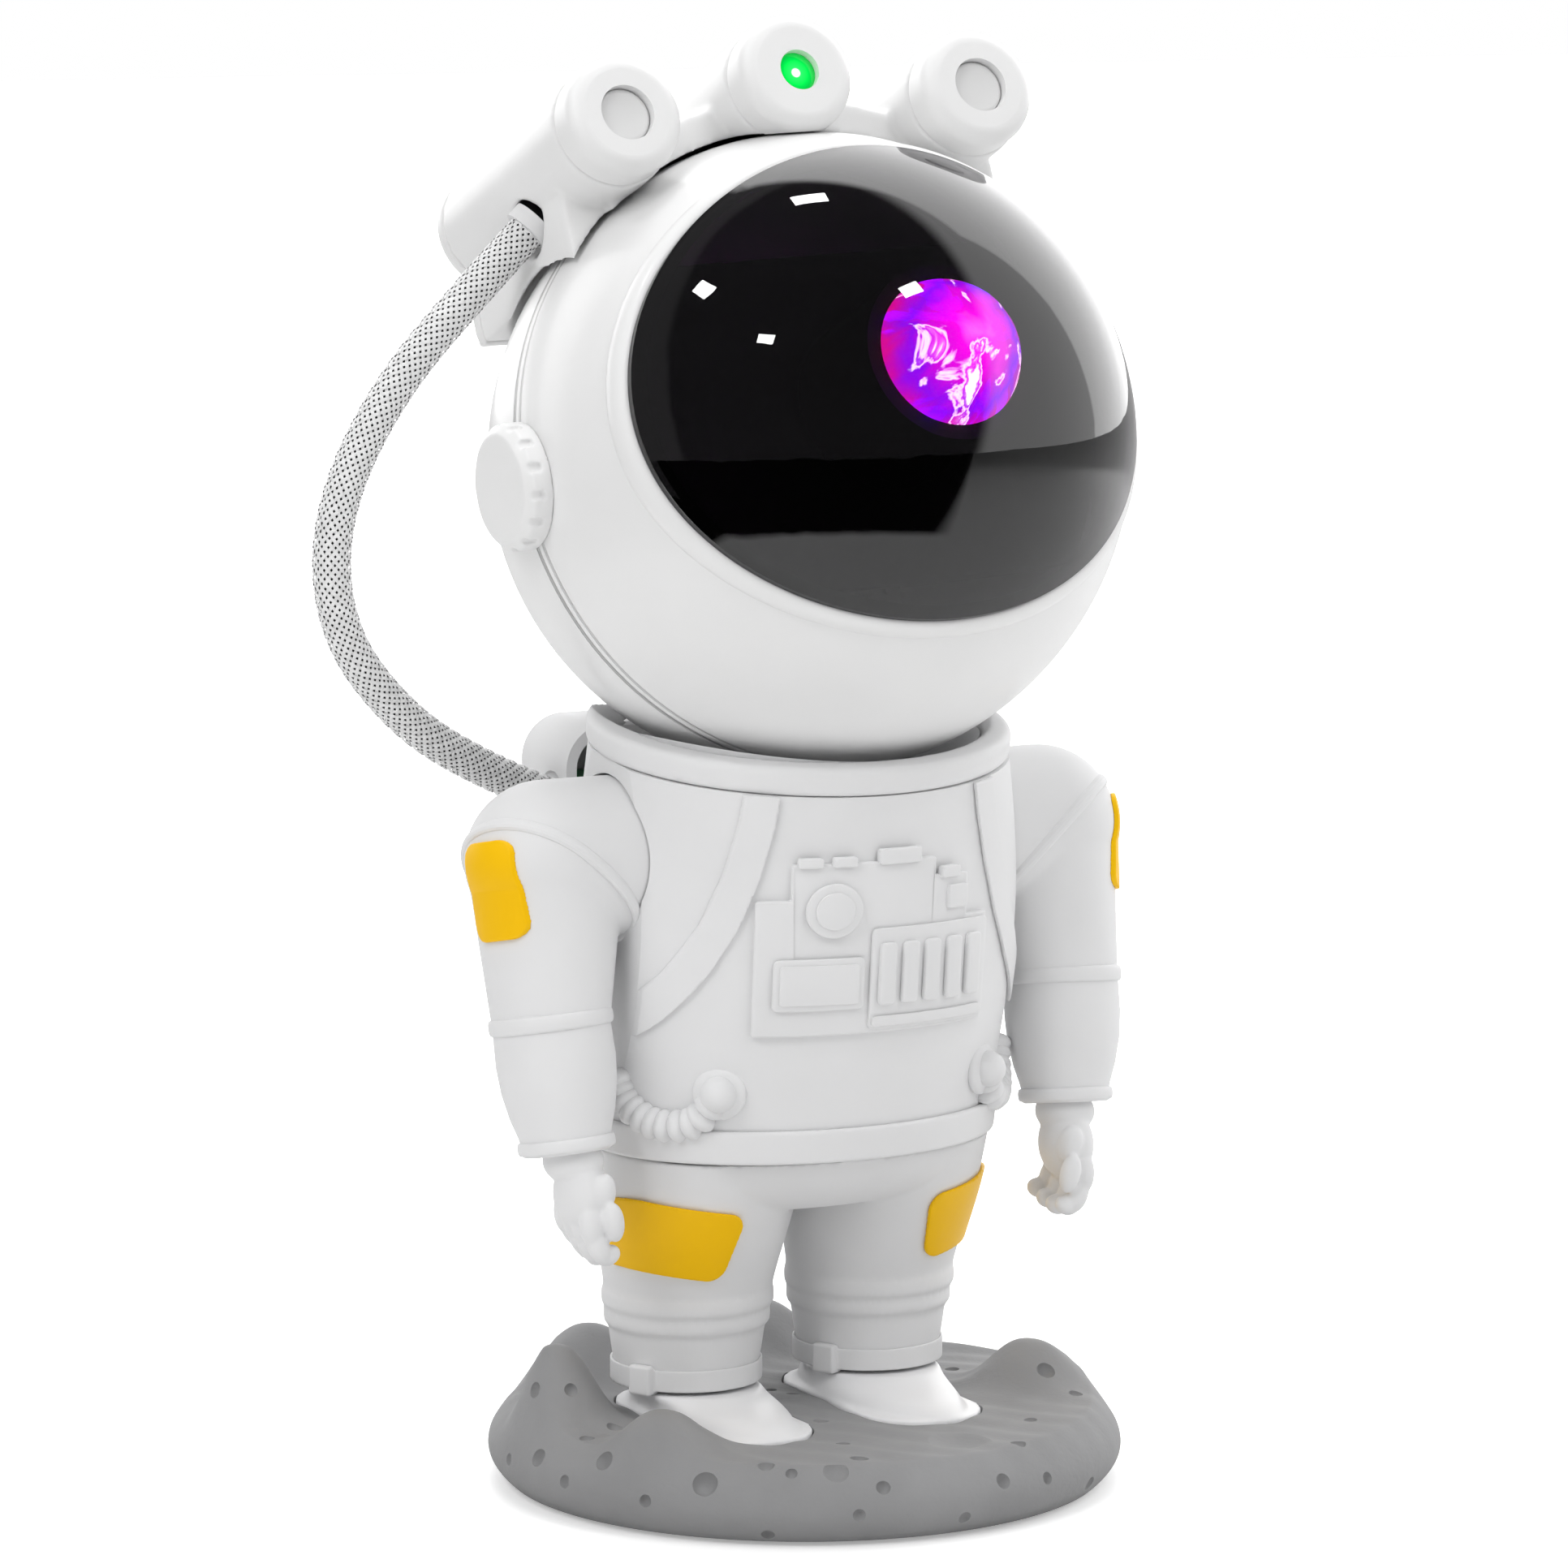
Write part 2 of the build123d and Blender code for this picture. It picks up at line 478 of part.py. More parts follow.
def make_arm(side):
    def p(point):
        return (side * point[0], point[1], point[2])

    shoulder = (side * SHOULDER_X, SHOULDER_Y, SHOULDER_Z)
    elbow, cuff, hand = p(ELBOW), p(CUFF), p(HAND)
    seat = side * (ARM_SEAT_X + GAP)
    upper = rod_x(seat, shoulder[0], SHOULDER_Y, SHOULDER_Z, SHOULDER_R) + Pos(*shoulder) * Sphere(SHOULDER_R)
    sleeve = arm_sleeve(shoulder, elbow, 0.0)
    upper += sleeve - bar(-TORSO_FLAT_X - GAP, TORSO_FLAT_X + GAP, -60, 60, 40, SHOULDER_Z - 2)
    upper -= rod_x(side * (ARM_SEAT_X - 1), side * (SHOULDER_X - 4), SHOULDER_Y, SHOULDER_Z, PIVOT_R)
    name = side_name(side)
    save(upper, f"upper_arm_{name}")

    pin = rod_x(side * 26.4, side * (SHOULDER_X - 4), SHOULDER_Y, SHOULDER_Z, PIVOT_R)
    pin += rod_x(side * 25.2, side * 26.6, SHOULDER_Y, SHOULDER_Z, PIVOT_HEAD_R)
    save(pin, f"shoulder_pin_{name}")

    down = (Vector(*cuff) - Vector(*elbow))
    middle = Vector(*elbow) + down * 0.45
    fore = loft([
        along(elbow, cuff) * Circle(ELBOW_R),
        Plane(origin=middle, z_dir=down) * Circle(ELBOW_R - 0.2),
        Plane(origin=cuff, z_dir=down) * Circle(CUFF_R),
    ])
    fore += along(elbow, cuff) * extrude(Circle(ELBOW_R + 0.6), 2.2)
    fore += Plane(origin=cuff, z_dir=down) * Pos(0, 0, -1.9) * extrude(Circle(CUFF_R + 0.5), 2.0)
    fore -= upper

    toward = Vector(*hand) - Vector(*cuff)
    start = Plane(origin=Vector(*cuff) + down.normalized() * 0.1, x_dir=(1, 0, 0), z_dir=toward)
    palm = loft([
        start * Ellipse(4.2, 4.6),
        start * Pos(0, 0, 5) * Ellipse(3.6, 5.6),
        start * Pos(0, 0, 11) * Ellipse(3.3, 5.2),
        start * Pos(0, 0, 16.5) * Ellipse(2.2, 3.6),
    ])
    thumb = start * Pos(-side * 2.4, -4.4, 7.0) * Sphere(2.2)
    save(fore + palm + thumb, f"forearm_{name}")

    grow = 0.7
    skin = Pos(*shoulder) * Sphere(SHOULDER_R + grow)
    skin += arm_sleeve(shoulder, elbow, grow)
    window = Pos(side * 58, SHOULDER_Y - 4.5, SHOULDER_Z - 3.2) * Rot(-12, 0, 0) * Box(16, 9.5, 15.0)
    window = fillet(window.edges().filter_by(Axis.X), 2.4)
    patch = (skin & window) - upper
    save(biggest(patch), f"arm_patch_{name}")


# ---- backpack -----------------------------------------------------------------------------------
def make_backpack():
    """A shell against the back and a screwed cover with two push buttons and the power inlet."""
    outer = bar(-PACK_HALF_X, PACK_HALF_X, PACK_Y0, PACK_Y1, PACK_Z0, PACK_Z1)
    outer = fillet(outer.edges().filter_by(Axis.Y), 7.0)
    cavity = bar(-PACK_HALF_X + PACK_WALL, PACK_HALF_X - PACK_WALL, PACK_Y0 - 9, PACK_Y1 - 3.0,
                 PACK_Z0 + PACK_WALL, PACK_Z1 - PACK_WALL)
    cavity = fillet(cavity.edges().filter_by(Axis.Y), 5.2)
    split = PACK_Y1 - 3.0
    tray = (outer & bar(-60, 60, 0, split, 40, 140)) - cavity
    tray -= oval_loft(TORSO_SECTIONS)
    end = Vector(*HOSE_ROUTE[-1])
    way = (Vector(*HOSE_ROUTE[-2]) - end).normalized()
    mouth = Plane(origin=end, z_dir=way) * Pos(0, 0, -6) * Cylinder(HOSE_R + 1.0, 20)
    tray -= mouth
    save(biggest(tray), "backpack_shell")
    ring = Cylinder(HOSE_R + 1.0, 3.0) - Cylinder(HOSE_R, 4.0)
    grommet = Plane(origin=end, z_dir=way) * Pos(0, 0, -1.0) * ring
    save(grommet, "pack_grommet")

    cover = outer & bar(-60, 60, split, 60, 40, 140)
    cover = fillet(cover.edges().group_by(Axis.Y)[-1], 1.4)
    for side in (-1, 1):
        cover -= rod_y(split - 1, 60, side * BUTTON_X, BUTTON_Z, BUTTON_R + GAP)
    inlet_x, inlet_z = USB_W / 2 + SNAP, USB_H / 2 + SNAP
    cover -= bar(-inlet_x, inlet_x, split - 1, 60, USB_Z - inlet_z, USB_Z + inlet_z)
    save(cover, "backpack_cover")

    board_y = split - 6.0
    board = bar(-22, 22, board_y - 1.6, board_y, PACK_Z0 + 3, PACK_Z1 - 8)
    for side, name in ((-1, "power_button"), (1, "mode_button")):
        flange_y = split - GAP
        stem = rod_y(flange_y - 1.0, PACK_Y1 + 0.9, side * BUTTON_X, BUTTON_Z, BUTTON_R)
        stem = fillet(stem.edges().sort_by(Axis.Y)[-1], 0.6)
        stem += rod_y(flange_y - 1.0, flange_y, side * BUTTON_X, BUTTON_Z, BUTTON_R + 1.2)
        save(stem, name)
        x = side * BUTTON_X
        board += bar(x - 3, x + 3, board_y, board_y + 3.0, BUTTON_Z - 3, BUTTON_Z + 3)
        plunger_y = flange_y - 1.0 - BUTTON_TRAVEL - SNAP
        board += rod_y(board_y + 3.0, plunger_y, x, BUTTON_Z, 1.7)
    save(board, "circuit_board")
    socket = bar(-USB_W / 2, USB_W / 2, board_y, PACK_Y1 - 0.2, USB_Z - USB_H / 2, USB_Z + USB_H / 2)
    socket = fillet(socket.edges().filter_by(Axis.Y), 1.5)
    mouth_x, mouth_z = USB_W / 2 - 0.5, USB_H / 2 - 0.5
    socket -= bar(-mouth_x, mouth_x, board_y + 2, 60, USB_Z - mouth_z, USB_Z + mouth_z)
    socket += bar(-USB_W / 2 + 1.4, USB_W / 2 - 1.4, board_y + 1, PACK_Y1 - 1.2, USB_Z - 0.35, USB_Z + 0.35)
    save(socket, "usb_socket")


# ---- helmet (drawn in the head's frame) -----------------------------------------------------------
def helmet_half(grow, front):
    """One half of the helmet's egg form: a half ball behind the ears, a longer half in front of them."""
    r = HELMET_R + grow
    if front:
        return scale(Sphere(1), by=(r, HELMET_FRONT + grow, r)) & bar(-80, 80, -80, 0, -80, 80)
    return Sphere(r) & bar(-80, 80, 0, 80, -80, 80)


def helmet_form(grow):
    return helmet_half(grow, True) + helmet_half(grow, False)


def visor_column(grow):
    return extrude(Plane.XZ * Ellipse(VISOR_A + grow, VISOR_B + grow), 80)


def make_helmet():
    front = (helmet_half(0, True) - helmet_half(-HELMET_T, True)) - visor_column(0)
    save(on_head(front), "helmet_front")

    back = helmet_half(0, False) - helmet_half(-HELMET_T, False)
    back -= Pos(-20, 18, 38) * Cylinder(3, 30)
    save(on_head(back), "helmet_back")

    inner_grow = VISOR_BULGE - VISOR_T
    dome = helmet_half(VISOR_BULGE, True) - helmet_half(inner_grow, True)
    save(on_head(dome & visor_column(-SNAP)), "visor")

    # bezel behind the visor's edge, glued to both shells
    ring = helmet_half(-HELMET_T, True) - helmet_half(-HELMET_T - RING_T, True)
    ring = (ring & visor_column(2.4)) - visor_column(-2.6)
    glue = helmet_half(inner_grow - SNAP, True) - helmet_half(-HELMET_T, True)
    ring += (glue & visor_column(-SNAP)) - visor_column(-2.6)
    save(on_head(ring), "visor_ring")

    ears = []
    for side in (-1, 1):
        ear = rod_x(side * (HELMET_R - 2.0), side * (HELMET_R + EAR_T - 2.0), 0, 0, EAR_R)
        ear = chamfer(ear.edges().sort_by(Axis.X)[0 if side < 0 else -1], 1.4)
        notch_count = 14
        for k in range(notch_count):
            a = 2 * pi * k / notch_count
            spot = (side * (HELMET_R + EAR_T - 2.0), EAR_R * cos(a), EAR_R * sin(a))
            ear -= Pos(*spot) * Rot(degrees(a), 0, 0) * Box(2 * (EAR_T - 2.6), 1.3, 1.4)
        ear -= helmet_half(0, True)
        ear -= Sphere(HELMET_R)
        ears.append(on_head(ear))
    save_all(ears, "ear_discs")

    # steel plate inside the chin, which the neck magnet holds
    keeper = helmet_half(-HELMET_T - SNAP, False) - helmet_half(-HELMET_T - 1.6, False)
    keeper = keeper & (Rot(HEAD_PITCH, 0, 0) * rod_z(-60, -30, 0, 0, 14))
    save(on_head(keeper), "keeper_plate")


# ---- crown (head's frame) -------------------------------------------------------------------------
def tube_spots():
    return [(-SIDE_TUBE_X, SIDE_TUBE_Z), (0.0, MID_TUBE_Z), (SIDE_TUBE_X, SIDE_TUBE_Z)]


def make_crown():
    """The lamp bar over the helmet: a curved saddle that joins three tubes, and a rear cover."""
    low = HELMET_R + SADDLE_GAP
    block = bar(-SIDE_TUBE_X, SIDE_TUBE_X, -14, TUBE_BACK_Y, 30, 60) & Sphere(SADDLE_R)
    for x, z in tube_spots():
        block += rod_y(TUBE_FRONT_Y, TUBE_BACK_Y, x, z, TUBE_R)
        if x:
            foot = bar(x - 7.0, x + 7.0, -12, TUBE_BACK_Y, 30, z)
            block += foot
    block -= Sphere(low)
    block -= rod_x(-80, -36, -30, 20, 18)
    inner = bar(-SIDE_TUBE_X, SIDE_TUBE_X, -12, 60, 30, 60) & Sphere(SADDLE_R - WALL)
    inner -= Sphere(low + WALL)
    block -= inner
    for x, z in tube_spots():
        block -= rod_y(TUBE_FRONT_Y - 1, TUBE_BACK_Y + 1, x, z, TUBE_BORE_R)
    block = on_head(block)
    start = Vector(*HOSE_ROUTE[0])
    mouth = Pos(0, 0, 4.0) * Cylinder(HOSE_R + 0.9, 12)
    block -= Plane(origin=start, z_dir=Vector(*HOSE_ROUTE[1]) - start) * mouth
    save(biggest(block), "crown_housing")

    rear = None
    for x, z in tube_spots():
        lid = rod_y(TUBE_BACK_Y, TUBE_BACK_Y + 3.0, x, z, TUBE_R)
        lid = fillet(lid.edges().group_by(Axis.Y)[-1], 1.4)
        lid += rod_y(TUBE_BACK_Y - 3.0, TUBE_BACK_Y, x, z, TUBE_BORE_R - SNAP)
        rear = lid if rear is None else rear + lid
    strip = bar(-SIDE_TUBE_X, SIDE_TUBE_X, TUBE_BACK_Y, TUBE_BACK_Y + 2.2, 30, 60) & Sphere(SADDLE_R + 4)
    for x in (-SIDE_TUBE_X, SIDE_TUBE_X):
        strip += bar(x - 7.0, x + 7.0, TUBE_BACK_Y, TUBE_BACK_Y + 2.4, 30, SIDE_TUBE_Z)
    rear += strip
    rear -= Sphere(low)
    save(on_head(biggest(rear)), "crown_rear_cover")

    caps, buttons = [], []
    for x, z in tube_spots():
        cap = rod_y(CAP_FRONT_Y, TUBE_FRONT_Y, x, z, CAP_R)
        cap = fillet(cap.edges().group_by(Axis.Y)[0], 2.4)
        cap += rod_y(TUBE_FRONT_Y, TUBE_FRONT_Y + 3, x, z, TUBE_BORE_R - SNAP)
        bore = CAP_BORE_R if x else 3.2
        cap -= rod_y(CAP_FRONT_Y - 1, TUBE_FRONT_Y + 4, x, z, bore)
        cap -= helmet_half(GAP, True)
        caps.append(on_head(cap))
        if x:
            button = rod_y(CAP_FRONT_Y + 1.2, TUBE_FRONT_Y, x, z, CAP_BORE_R)
            button = fillet(button.edges().group_by(Axis.Y)[0], 0.8)
            buttons.append(on_head(button))
        else:
            save(on_head(rod_y(CAP_FRONT_Y + 1.4, CAP_FRONT_Y + 2.6, x, z, 3.2)), "laser_window")
    save_all(caps, "lamp_caps")
    save_all(buttons, "lamp_buttons")


# ---- optics and drives (head's frame) ---------------------------------------------------------------
def gear(teeth, module, thickness, bore, phase=0.0):
    """A spur gear about Z from z = 0, with thin straight-sided teeth so that a pair runs with backlash."""
    pitch_r = teeth * module / 2
    root_r, tip_r = pitch_r - 1.1 * module, pitch_r + 0.8 * module
    step = 2 * pi / teeth
    wheel = Circle(root_r)
    half_root, half_tip = 0.23 * step, 0.10 * step
    points = []
    for k in range(teeth):
        a = k * step + phase
        for r, b in ((root_r - 0.05 * module, -half_root), (tip_r, -half_tip), (tip_r, half_tip),
                     (root_r - 0.05 * module, half_root)):
            points.append((r * cos(a + b), r * sin(a + b)))
    wheel = make_face(Polyline(*points, points[0])) + wheel
    return extrude(wheel - Circle(bore), thickness)


def pinion_spot(x, z, teeth, pinion_teeth, module, toward):
    """Where the pinion that meshes with a wheel at (x, z) turns, in the direction given."""
    centre = (teeth + pinion_teeth) * module / 2
    return x + centre * cos(toward), z + centre * sin(toward)


def facing(x, y, z):
    """A frame whose local Z points forward (-Y) and whose local X is the head's X."""
    return Pos(x, y, z) * Rot(90, 0, 0)


def make_laser():
    """Laser and turning star grating in the middle tube."""
    z = MID_TUBE_Z
    px, pz = pinion_spot(0, z, GRATING_TEETH, GRATING_PINION_TEETH, GRATING_MODULE, pi / 2)
    holder = rod_y(TUBE_FRONT_Y + 3.0, -1, 0, z, TUBE_BORE_R - SNAP)
    holder -= rod_y(TUBE_FRONT_Y + 2, GRATING_Y + GRATING_T + GAP, 0, z, TUBE_BORE_R - 1.0)
    holder -= rod_y(GRATING_Y, 10, 0, z, 3.0)
    holder -= rod_y(GRATING_Y, 10, px, pz, 1.5)
    laser = rod_y(GRATING_Y + GRATING_T + 1.0, 2, 0, z, 3.0) + rod_y(2, 3.4, 0, z, 2.2)
    save(on_head(laser), "laser_module")
    wheel = facing(0, GRATING_Y + GRATING_T, z) * gear(
        GRATING_TEETH, GRATING_MODULE, GRATING_T, SPINDLE_R + SHAFT_FIT, pi / 2)
    save(on_head(wheel), "grating_wheel")
    front_y = GRATING_Y - 1.6
    bridge = bar(-TUBE_BORE_R + 1.3, TUBE_BORE_R - 1.3, front_y - 0.9, front_y, z - 1.0, z + 1.0)
    bridge += rod_y(front_y - 0.1, GRATING_Y + GRATING_T + 0.7, 0, z, SPINDLE_R)
    holder = (holder + bridge) - Sphere(HELMET_R + SADDLE_GAP)
    save(on_head(holder), "laser_holder")
    pinion = facing(px, GRATING_Y + GRATING_T, pz) * gear(
        GRATING_PINION_TEETH, GRATING_MODULE, GRATING_T, 0.35 + SHAFT_FIT,
        -pi / 2 + pi / GRATING_PINION_TEETH)
    save(on_head(pinion), "grating_pinion")
    motor = rod_y(GRATING_Y + GRATING_T + 1.0, 2, px, pz, 1.5)
    motor += rod_y(GRATING_Y - 0.5, GRATING_Y + GRATING_T + 1.2, px, pz, 0.35)
    save(on_head(motor), "grating_motor")


def make_projector():
    """Lamp board, condenser, turning nebula wheel and ball lens on a frame behind the visor."""
    wheel_r = WHEEL_TEETH * MODULE / 2
    wheel_z = -wheel_r + 7.0
    px, pz = pinion_spot(0, wheel_z, WHEEL_TEETH, PINION_TEETH, MODULE, -pi / 2)
    save(on_head(Pos(LENS_X, LENS_Y, LENS_Z) * Sphere(LENS_R)), "ball_lens")

    barrel_r = LENS_R + 1.8
    barrel = rod_y(LENS_Y + 2, WHEEL_Y - 4, LENS_X, LENS_Z, barrel_r)
    barrel -= rod_y(LENS_Y - 1, WHEEL_Y - 3, LENS_X, LENS_Z, LENS_R - 1.5)
    barrel += rod_y(LENS_Y - 3, LENS_Y + 2, LENS_X, LENS_Z, barrel_r)
    barrel -= rod_y(LENS_Y - 4, LENS_Y + 2, LENS_X, LENS_Z, LENS_R - 1.5)
    barrel -= Pos(LENS_X, LENS_Y, LENS_Z) * Sphere(LENS_R)

    frame_y0, frame_y1 = WHEEL_Y - 4, WHEEL_Y - 2.2
    disc = rod_y(frame_y0, frame_y1, 0, 0, 40)
    disc -= rod_y(frame_y0 - 1, frame_y1 + 1, LENS_X, LENS_Z, LENS_R - 1.5)
    frame = disc & bar(-40, 40, -30, 0, -26, 26)
    rear_y0 = WHEEL_Y + WHEEL_T + 2.0
    for x in (-30, 30):
        frame += bar(x - 3, x + 3, frame_y0, rear_y0 + 2, -5, 5)
        frame += bar(x - 3, x + 3, frame_y0, frame_y1, -5, 5)
        edge = x + (9 if x > 0 else -9)
        frame += bar(x, edge, frame_y0, frame_y0 + 4, -5, 5)
    frame -= rod_y(frame_y0 - 1, frame_y1 + 1, 0, wheel_z, SPINDLE_R)
    frame = frame & helmet_form(-HELMET_T - RING_T - SNAP)
    for x in (-1, 1):
        frame += bar(x * 37, x * 60, frame_y0, frame_y0 + 4, -5, 5) & helmet_form(-HELMET_T - RING_T - SNAP)
    save(on_head(frame + barrel), "optics_frame")

    plate = bar(-33, 33, rear_y0 + 2, rear_y0 + 4, -24, 12)
    plate -= rod_y(rear_y0, rear_y0 + 6, px, pz, 3.0)
    plate -= rod_y(rear_y0, rear_y0 + 6, 0, wheel_z, SPINDLE_R)
    plate += rod_y(frame_y0, rear_y0 + 4, 0, wheel_z, SPINDLE_R)

    wheel = facing(0, WHEEL_Y + WHEEL_T, wheel_z) * gear(
        WHEEL_TEETH, MODULE, WHEEL_T, SPINDLE_R + SHAFT_FIT, -pi / 2)
    wheel += rod_y(WHEEL_Y + WHEEL_T, WHEEL_Y + WHEEL_T + 1.4, 0, wheel_z, 2.4) - rod_y(
        WHEEL_Y - 1, WHEEL_Y + WHEEL_T + 3, 0, wheel_z, SPINDLE_R + SHAFT_FIT)
    save(on_head(wheel), "nebula_wheel")
    pinion = facing(px, WHEEL_Y + WHEEL_T, pz) * gear(
        PINION_TEETH, MODULE, WHEEL_T, 0.5 + SHAFT_FIT, pi / 2 + pi / PINION_TEETH)
    save(on_head(pinion), "motor_pinion")
    motor = rod_y(rear_y0, rear_y0 + 12, px, pz, 3.0)
    motor += rod_y(WHEEL_Y - 0.8, rear_y0 + 1, px, pz, 0.5)
    save(on_head(motor), "wheel_motor")

    led_y = rear_y0 + 4
    board = rod_y(led_y, led_y + 1.6, 0, 0, 11) & bar(-20, 20, -60, 60, -9.5, 11)
    chips = bar(-2.4, 2.4, led_y - 1.8, led_y, -2.4, 2.4)
    plate_hole = rod_y(rear_y0, led_y, 0, 0, 3.6)
    save(on_head(board + chips), "lamp_board")
    save(on_head(plate - plate_hole), "motor_plate")
    sink = bar(-10, 10, led_y + 1.6, led_y + 3.0, -9, 9)
    for k in range(6):
        x = -9.4 + k * 3.52
        sink += bar(x, x + 1.2, led_y + 3.0, led_y + 8.0, -9, 9)
    save(on_head(sink), "heat_sink")


# ---- hose -------------------------------------------------------------------------------------
def make_hose():
    """The sleeved lead from the crown to the backpack: straight runs joined by wide arcs."""
    points = [Vector(*p) for p in HOSE_ROUTE]
    radii = []
    for a, b, c in zip(points, points[1:], points[2:]):
        turn = (b - a).get_angle(c - b)
        shorter = min((b - a).length, (c - b).length)
        radii.append(0.45 * shorter * cos(radians(turn / 2)) / sin(radians(turn / 2)))
    path = FilletPolyline(*points, radius=radii)
    print("hose: length", round(path.length, 1), "radii", [round(r, 1) for r in radii],
          "least allowed", HOSE_MIN_BEND * 2 * HOSE_R)
    start = Plane(origin=path @ 0, z_dir=path % 0)
    sleeve = sweep(start * (Circle(HOSE_R) - Circle(HOSE_CORE_R)), path=path)
    area = pi * (HOSE_R**2 - HOSE_CORE_R**2)
    print("hose: volume", round(sleeve.volume, 1), "section times length", round(area * path.length, 1))
    save(sleeve, "hose_sleeve")
    ahead = points[1] - points[0]
    bead = Cylinder(HOSE_R + 0.9, 2.4) - Cylinder(HOSE_R, 3.0)
    ring = Plane(origin=points[0], z_dir=ahead) * Pos(0, 0, 1.0) * bead
    save(ring, "crown_grommet")


make_base()
make_boot(-1)
make_boot(1)
make_trousers()
make_torso()
make_torso_trim()
make_arm(-1)
make_arm(1)
make_backpack()
make_helmet()
make_crown()
make_laser()
make_projector()
make_hose()
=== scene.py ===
from math import acos, atan2, cos, pi, radians, sin, sqrt

import bpy
import numpy as np
from mathutils import Matrix, Vector


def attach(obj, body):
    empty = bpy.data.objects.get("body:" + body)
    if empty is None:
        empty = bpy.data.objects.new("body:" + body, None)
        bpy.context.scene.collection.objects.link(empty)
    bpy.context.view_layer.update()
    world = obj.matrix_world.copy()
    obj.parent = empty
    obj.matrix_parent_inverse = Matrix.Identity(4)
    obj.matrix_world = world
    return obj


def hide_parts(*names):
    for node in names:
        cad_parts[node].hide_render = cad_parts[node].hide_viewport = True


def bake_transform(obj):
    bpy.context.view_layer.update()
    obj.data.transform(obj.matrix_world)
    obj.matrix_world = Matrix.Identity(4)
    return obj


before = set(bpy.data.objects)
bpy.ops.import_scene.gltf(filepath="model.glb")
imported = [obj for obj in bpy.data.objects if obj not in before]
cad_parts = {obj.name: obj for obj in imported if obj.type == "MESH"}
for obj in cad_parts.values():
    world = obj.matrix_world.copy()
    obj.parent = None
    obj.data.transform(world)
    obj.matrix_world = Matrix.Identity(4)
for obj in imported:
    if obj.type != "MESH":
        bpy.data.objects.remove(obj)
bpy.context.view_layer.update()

MM = 0.001


# ---- moon base -----------------------------------------------------------------------------------
# The base is one moulded grey shell, shaped as a slice of moon ground: rounded hills round its edge,
# one wide crater in front, small pits all over, and two long pockets that the boots stand in.
BASE_X, TOP_Z, TOP_R, SIDE_R, SIDE_Z, FOOT_R, FOOT_Z = 3.6, 12.0, 45.0, 49.4, 5.4, 46.5, 0.6
TOP_SHARE, SIDE_SHARE = 0.66, 0.9   # parts of a ball, pole to pole, that become the top, then the side
HILL_FOOT_Z, HILL_FADE = 4.0, 1.5   # the hills run down the side to here, and how fast they die away
RIM_R, RIM_FALL, SIDE_RISE = 43.0, 0.5 / 6.5, 0.85   # near the rim the hills lose some of their height
HILL_SHAPE = 1.25                   # over 1 is rounder on top and steeper on its sides
HILLS = [  # x, y, rise above the plain, spread
    (-37.4, 4.0, 11.9, 4.9),
    (-19.0, 30.0, 8.0, 5.8),
    (15.0, 36.5, 7.0, 6.2),
    (39.4, -8.6, 7.0, 5.6),
    (-31.6, -21.0, 6.0, 5.2),
    (30.0, 22.0, -1.2, 8.0),
]
PITS = [  # x, y, z, radius, depth
    (-41.3, 2.4, 17.3, 1.9, 0.7), (-37.9, -1.5, 17.7, 1.6, 0.6), (-45.6, 4.3, 6.6, 1.5, 0.5),
    (-44.6, -4.3, 8.6, 2.2, 0.8), (-44.2, -12.2, 6.6, 1.6, 0.6), (-39.8, -17.8, 10.3, 2.4, 0.8),
    (-37.9, -26.9, 6.1, 1.5, 0.6), (-31.0, -33.2, 9.3, 3.0, 1.0), (-23.3, -38.9, 2.6, 1.6, 0.6),
    (-38.9, -9.4, 12.3, 1.8, 0.6), (-22.5, -36.6, 13.0, 2.0, 0.7), (-19.9, -39.8, 11.1, 1.4, 0.5),
    (-32.6, -6.6, 12.8, 2.1, 0.7), (33.4, 5.9, 12.0, 1.8, 0.6), (38.3, -14.4, 14.3, 2.3, 0.8),
    (40.6, -20.5, 12.2, 1.7, 0.6), (-2.1, -16.1, 12.0, 1.9, 0.6), (2.4, 1.6, 12.0, 1.6, 0.5),
    (1.2, 6.7, 12.0, 1.5, 0.5), (17.8, -42.2, 12.0, 1.9, 0.7), (-5.9, -30.2, 12.0, 1.7, 0.6),
    (-8.4, -39.9, 12.0, 2.2, 0.8), (-8.0, -46.7, 9.1, 1.7, 0.6), (-12.2, -46.9, 5.3, 1.5, 0.5),
    (11.9, -48.0, 8.0, 1.9, 0.7), (20.7, -46.1, 7.0, 1.5, 0.6), (31.6, -40.0, 3.6, 1.8, 0.6),
    (4.7, -48.8, 3.4, 1.6, 0.5), (-13.8, -42.5, 11.2, 3.0, 0.7), (27.0, -30.0, 12.0, 1.6, 0.5),
    (31.0, 20.0, 13.0, 2.4, 0.8), (3.0, 40.0, 13.0, 2.2, 0.8), (-33.0, 22.0, 13.0, 1.9, 0.7),
    (20.0, 45.0, 8.0, 2.0, 0.7), (-10.0, 47.0, 8.0, 1.8, 0.7), (44.0, 24.0, 7.0, 2.0, 0.7),
    (52.0, 6.0, 6.0, 1.7, 0.6), (51.0, -14.0, 6.0, 1.9, 0.7), (0.0, 30.0, 12.0, 2.4, 0.8),
]
PIT_RIM, PIT_DEEP = 0.66, 1.55      # cut this much of a pit's radius and depth
CRATERS = [(11.0, -36.6, 12.0, 5.4, 1.3)]   # the same measures, cut as they are
BOOT_X, BOOT_Y, BOOT_HALF_W, BOOT_HALF_L, POCKET_Z, POCKET_CUT = 14.8, -4.5, 10.1, 21.8, 9.0, 20.0


def added(name):
    """Name the primitive that was just added."""
    piece = bpy.context.object
    piece.name = name
    piece.data.name = name
    return piece


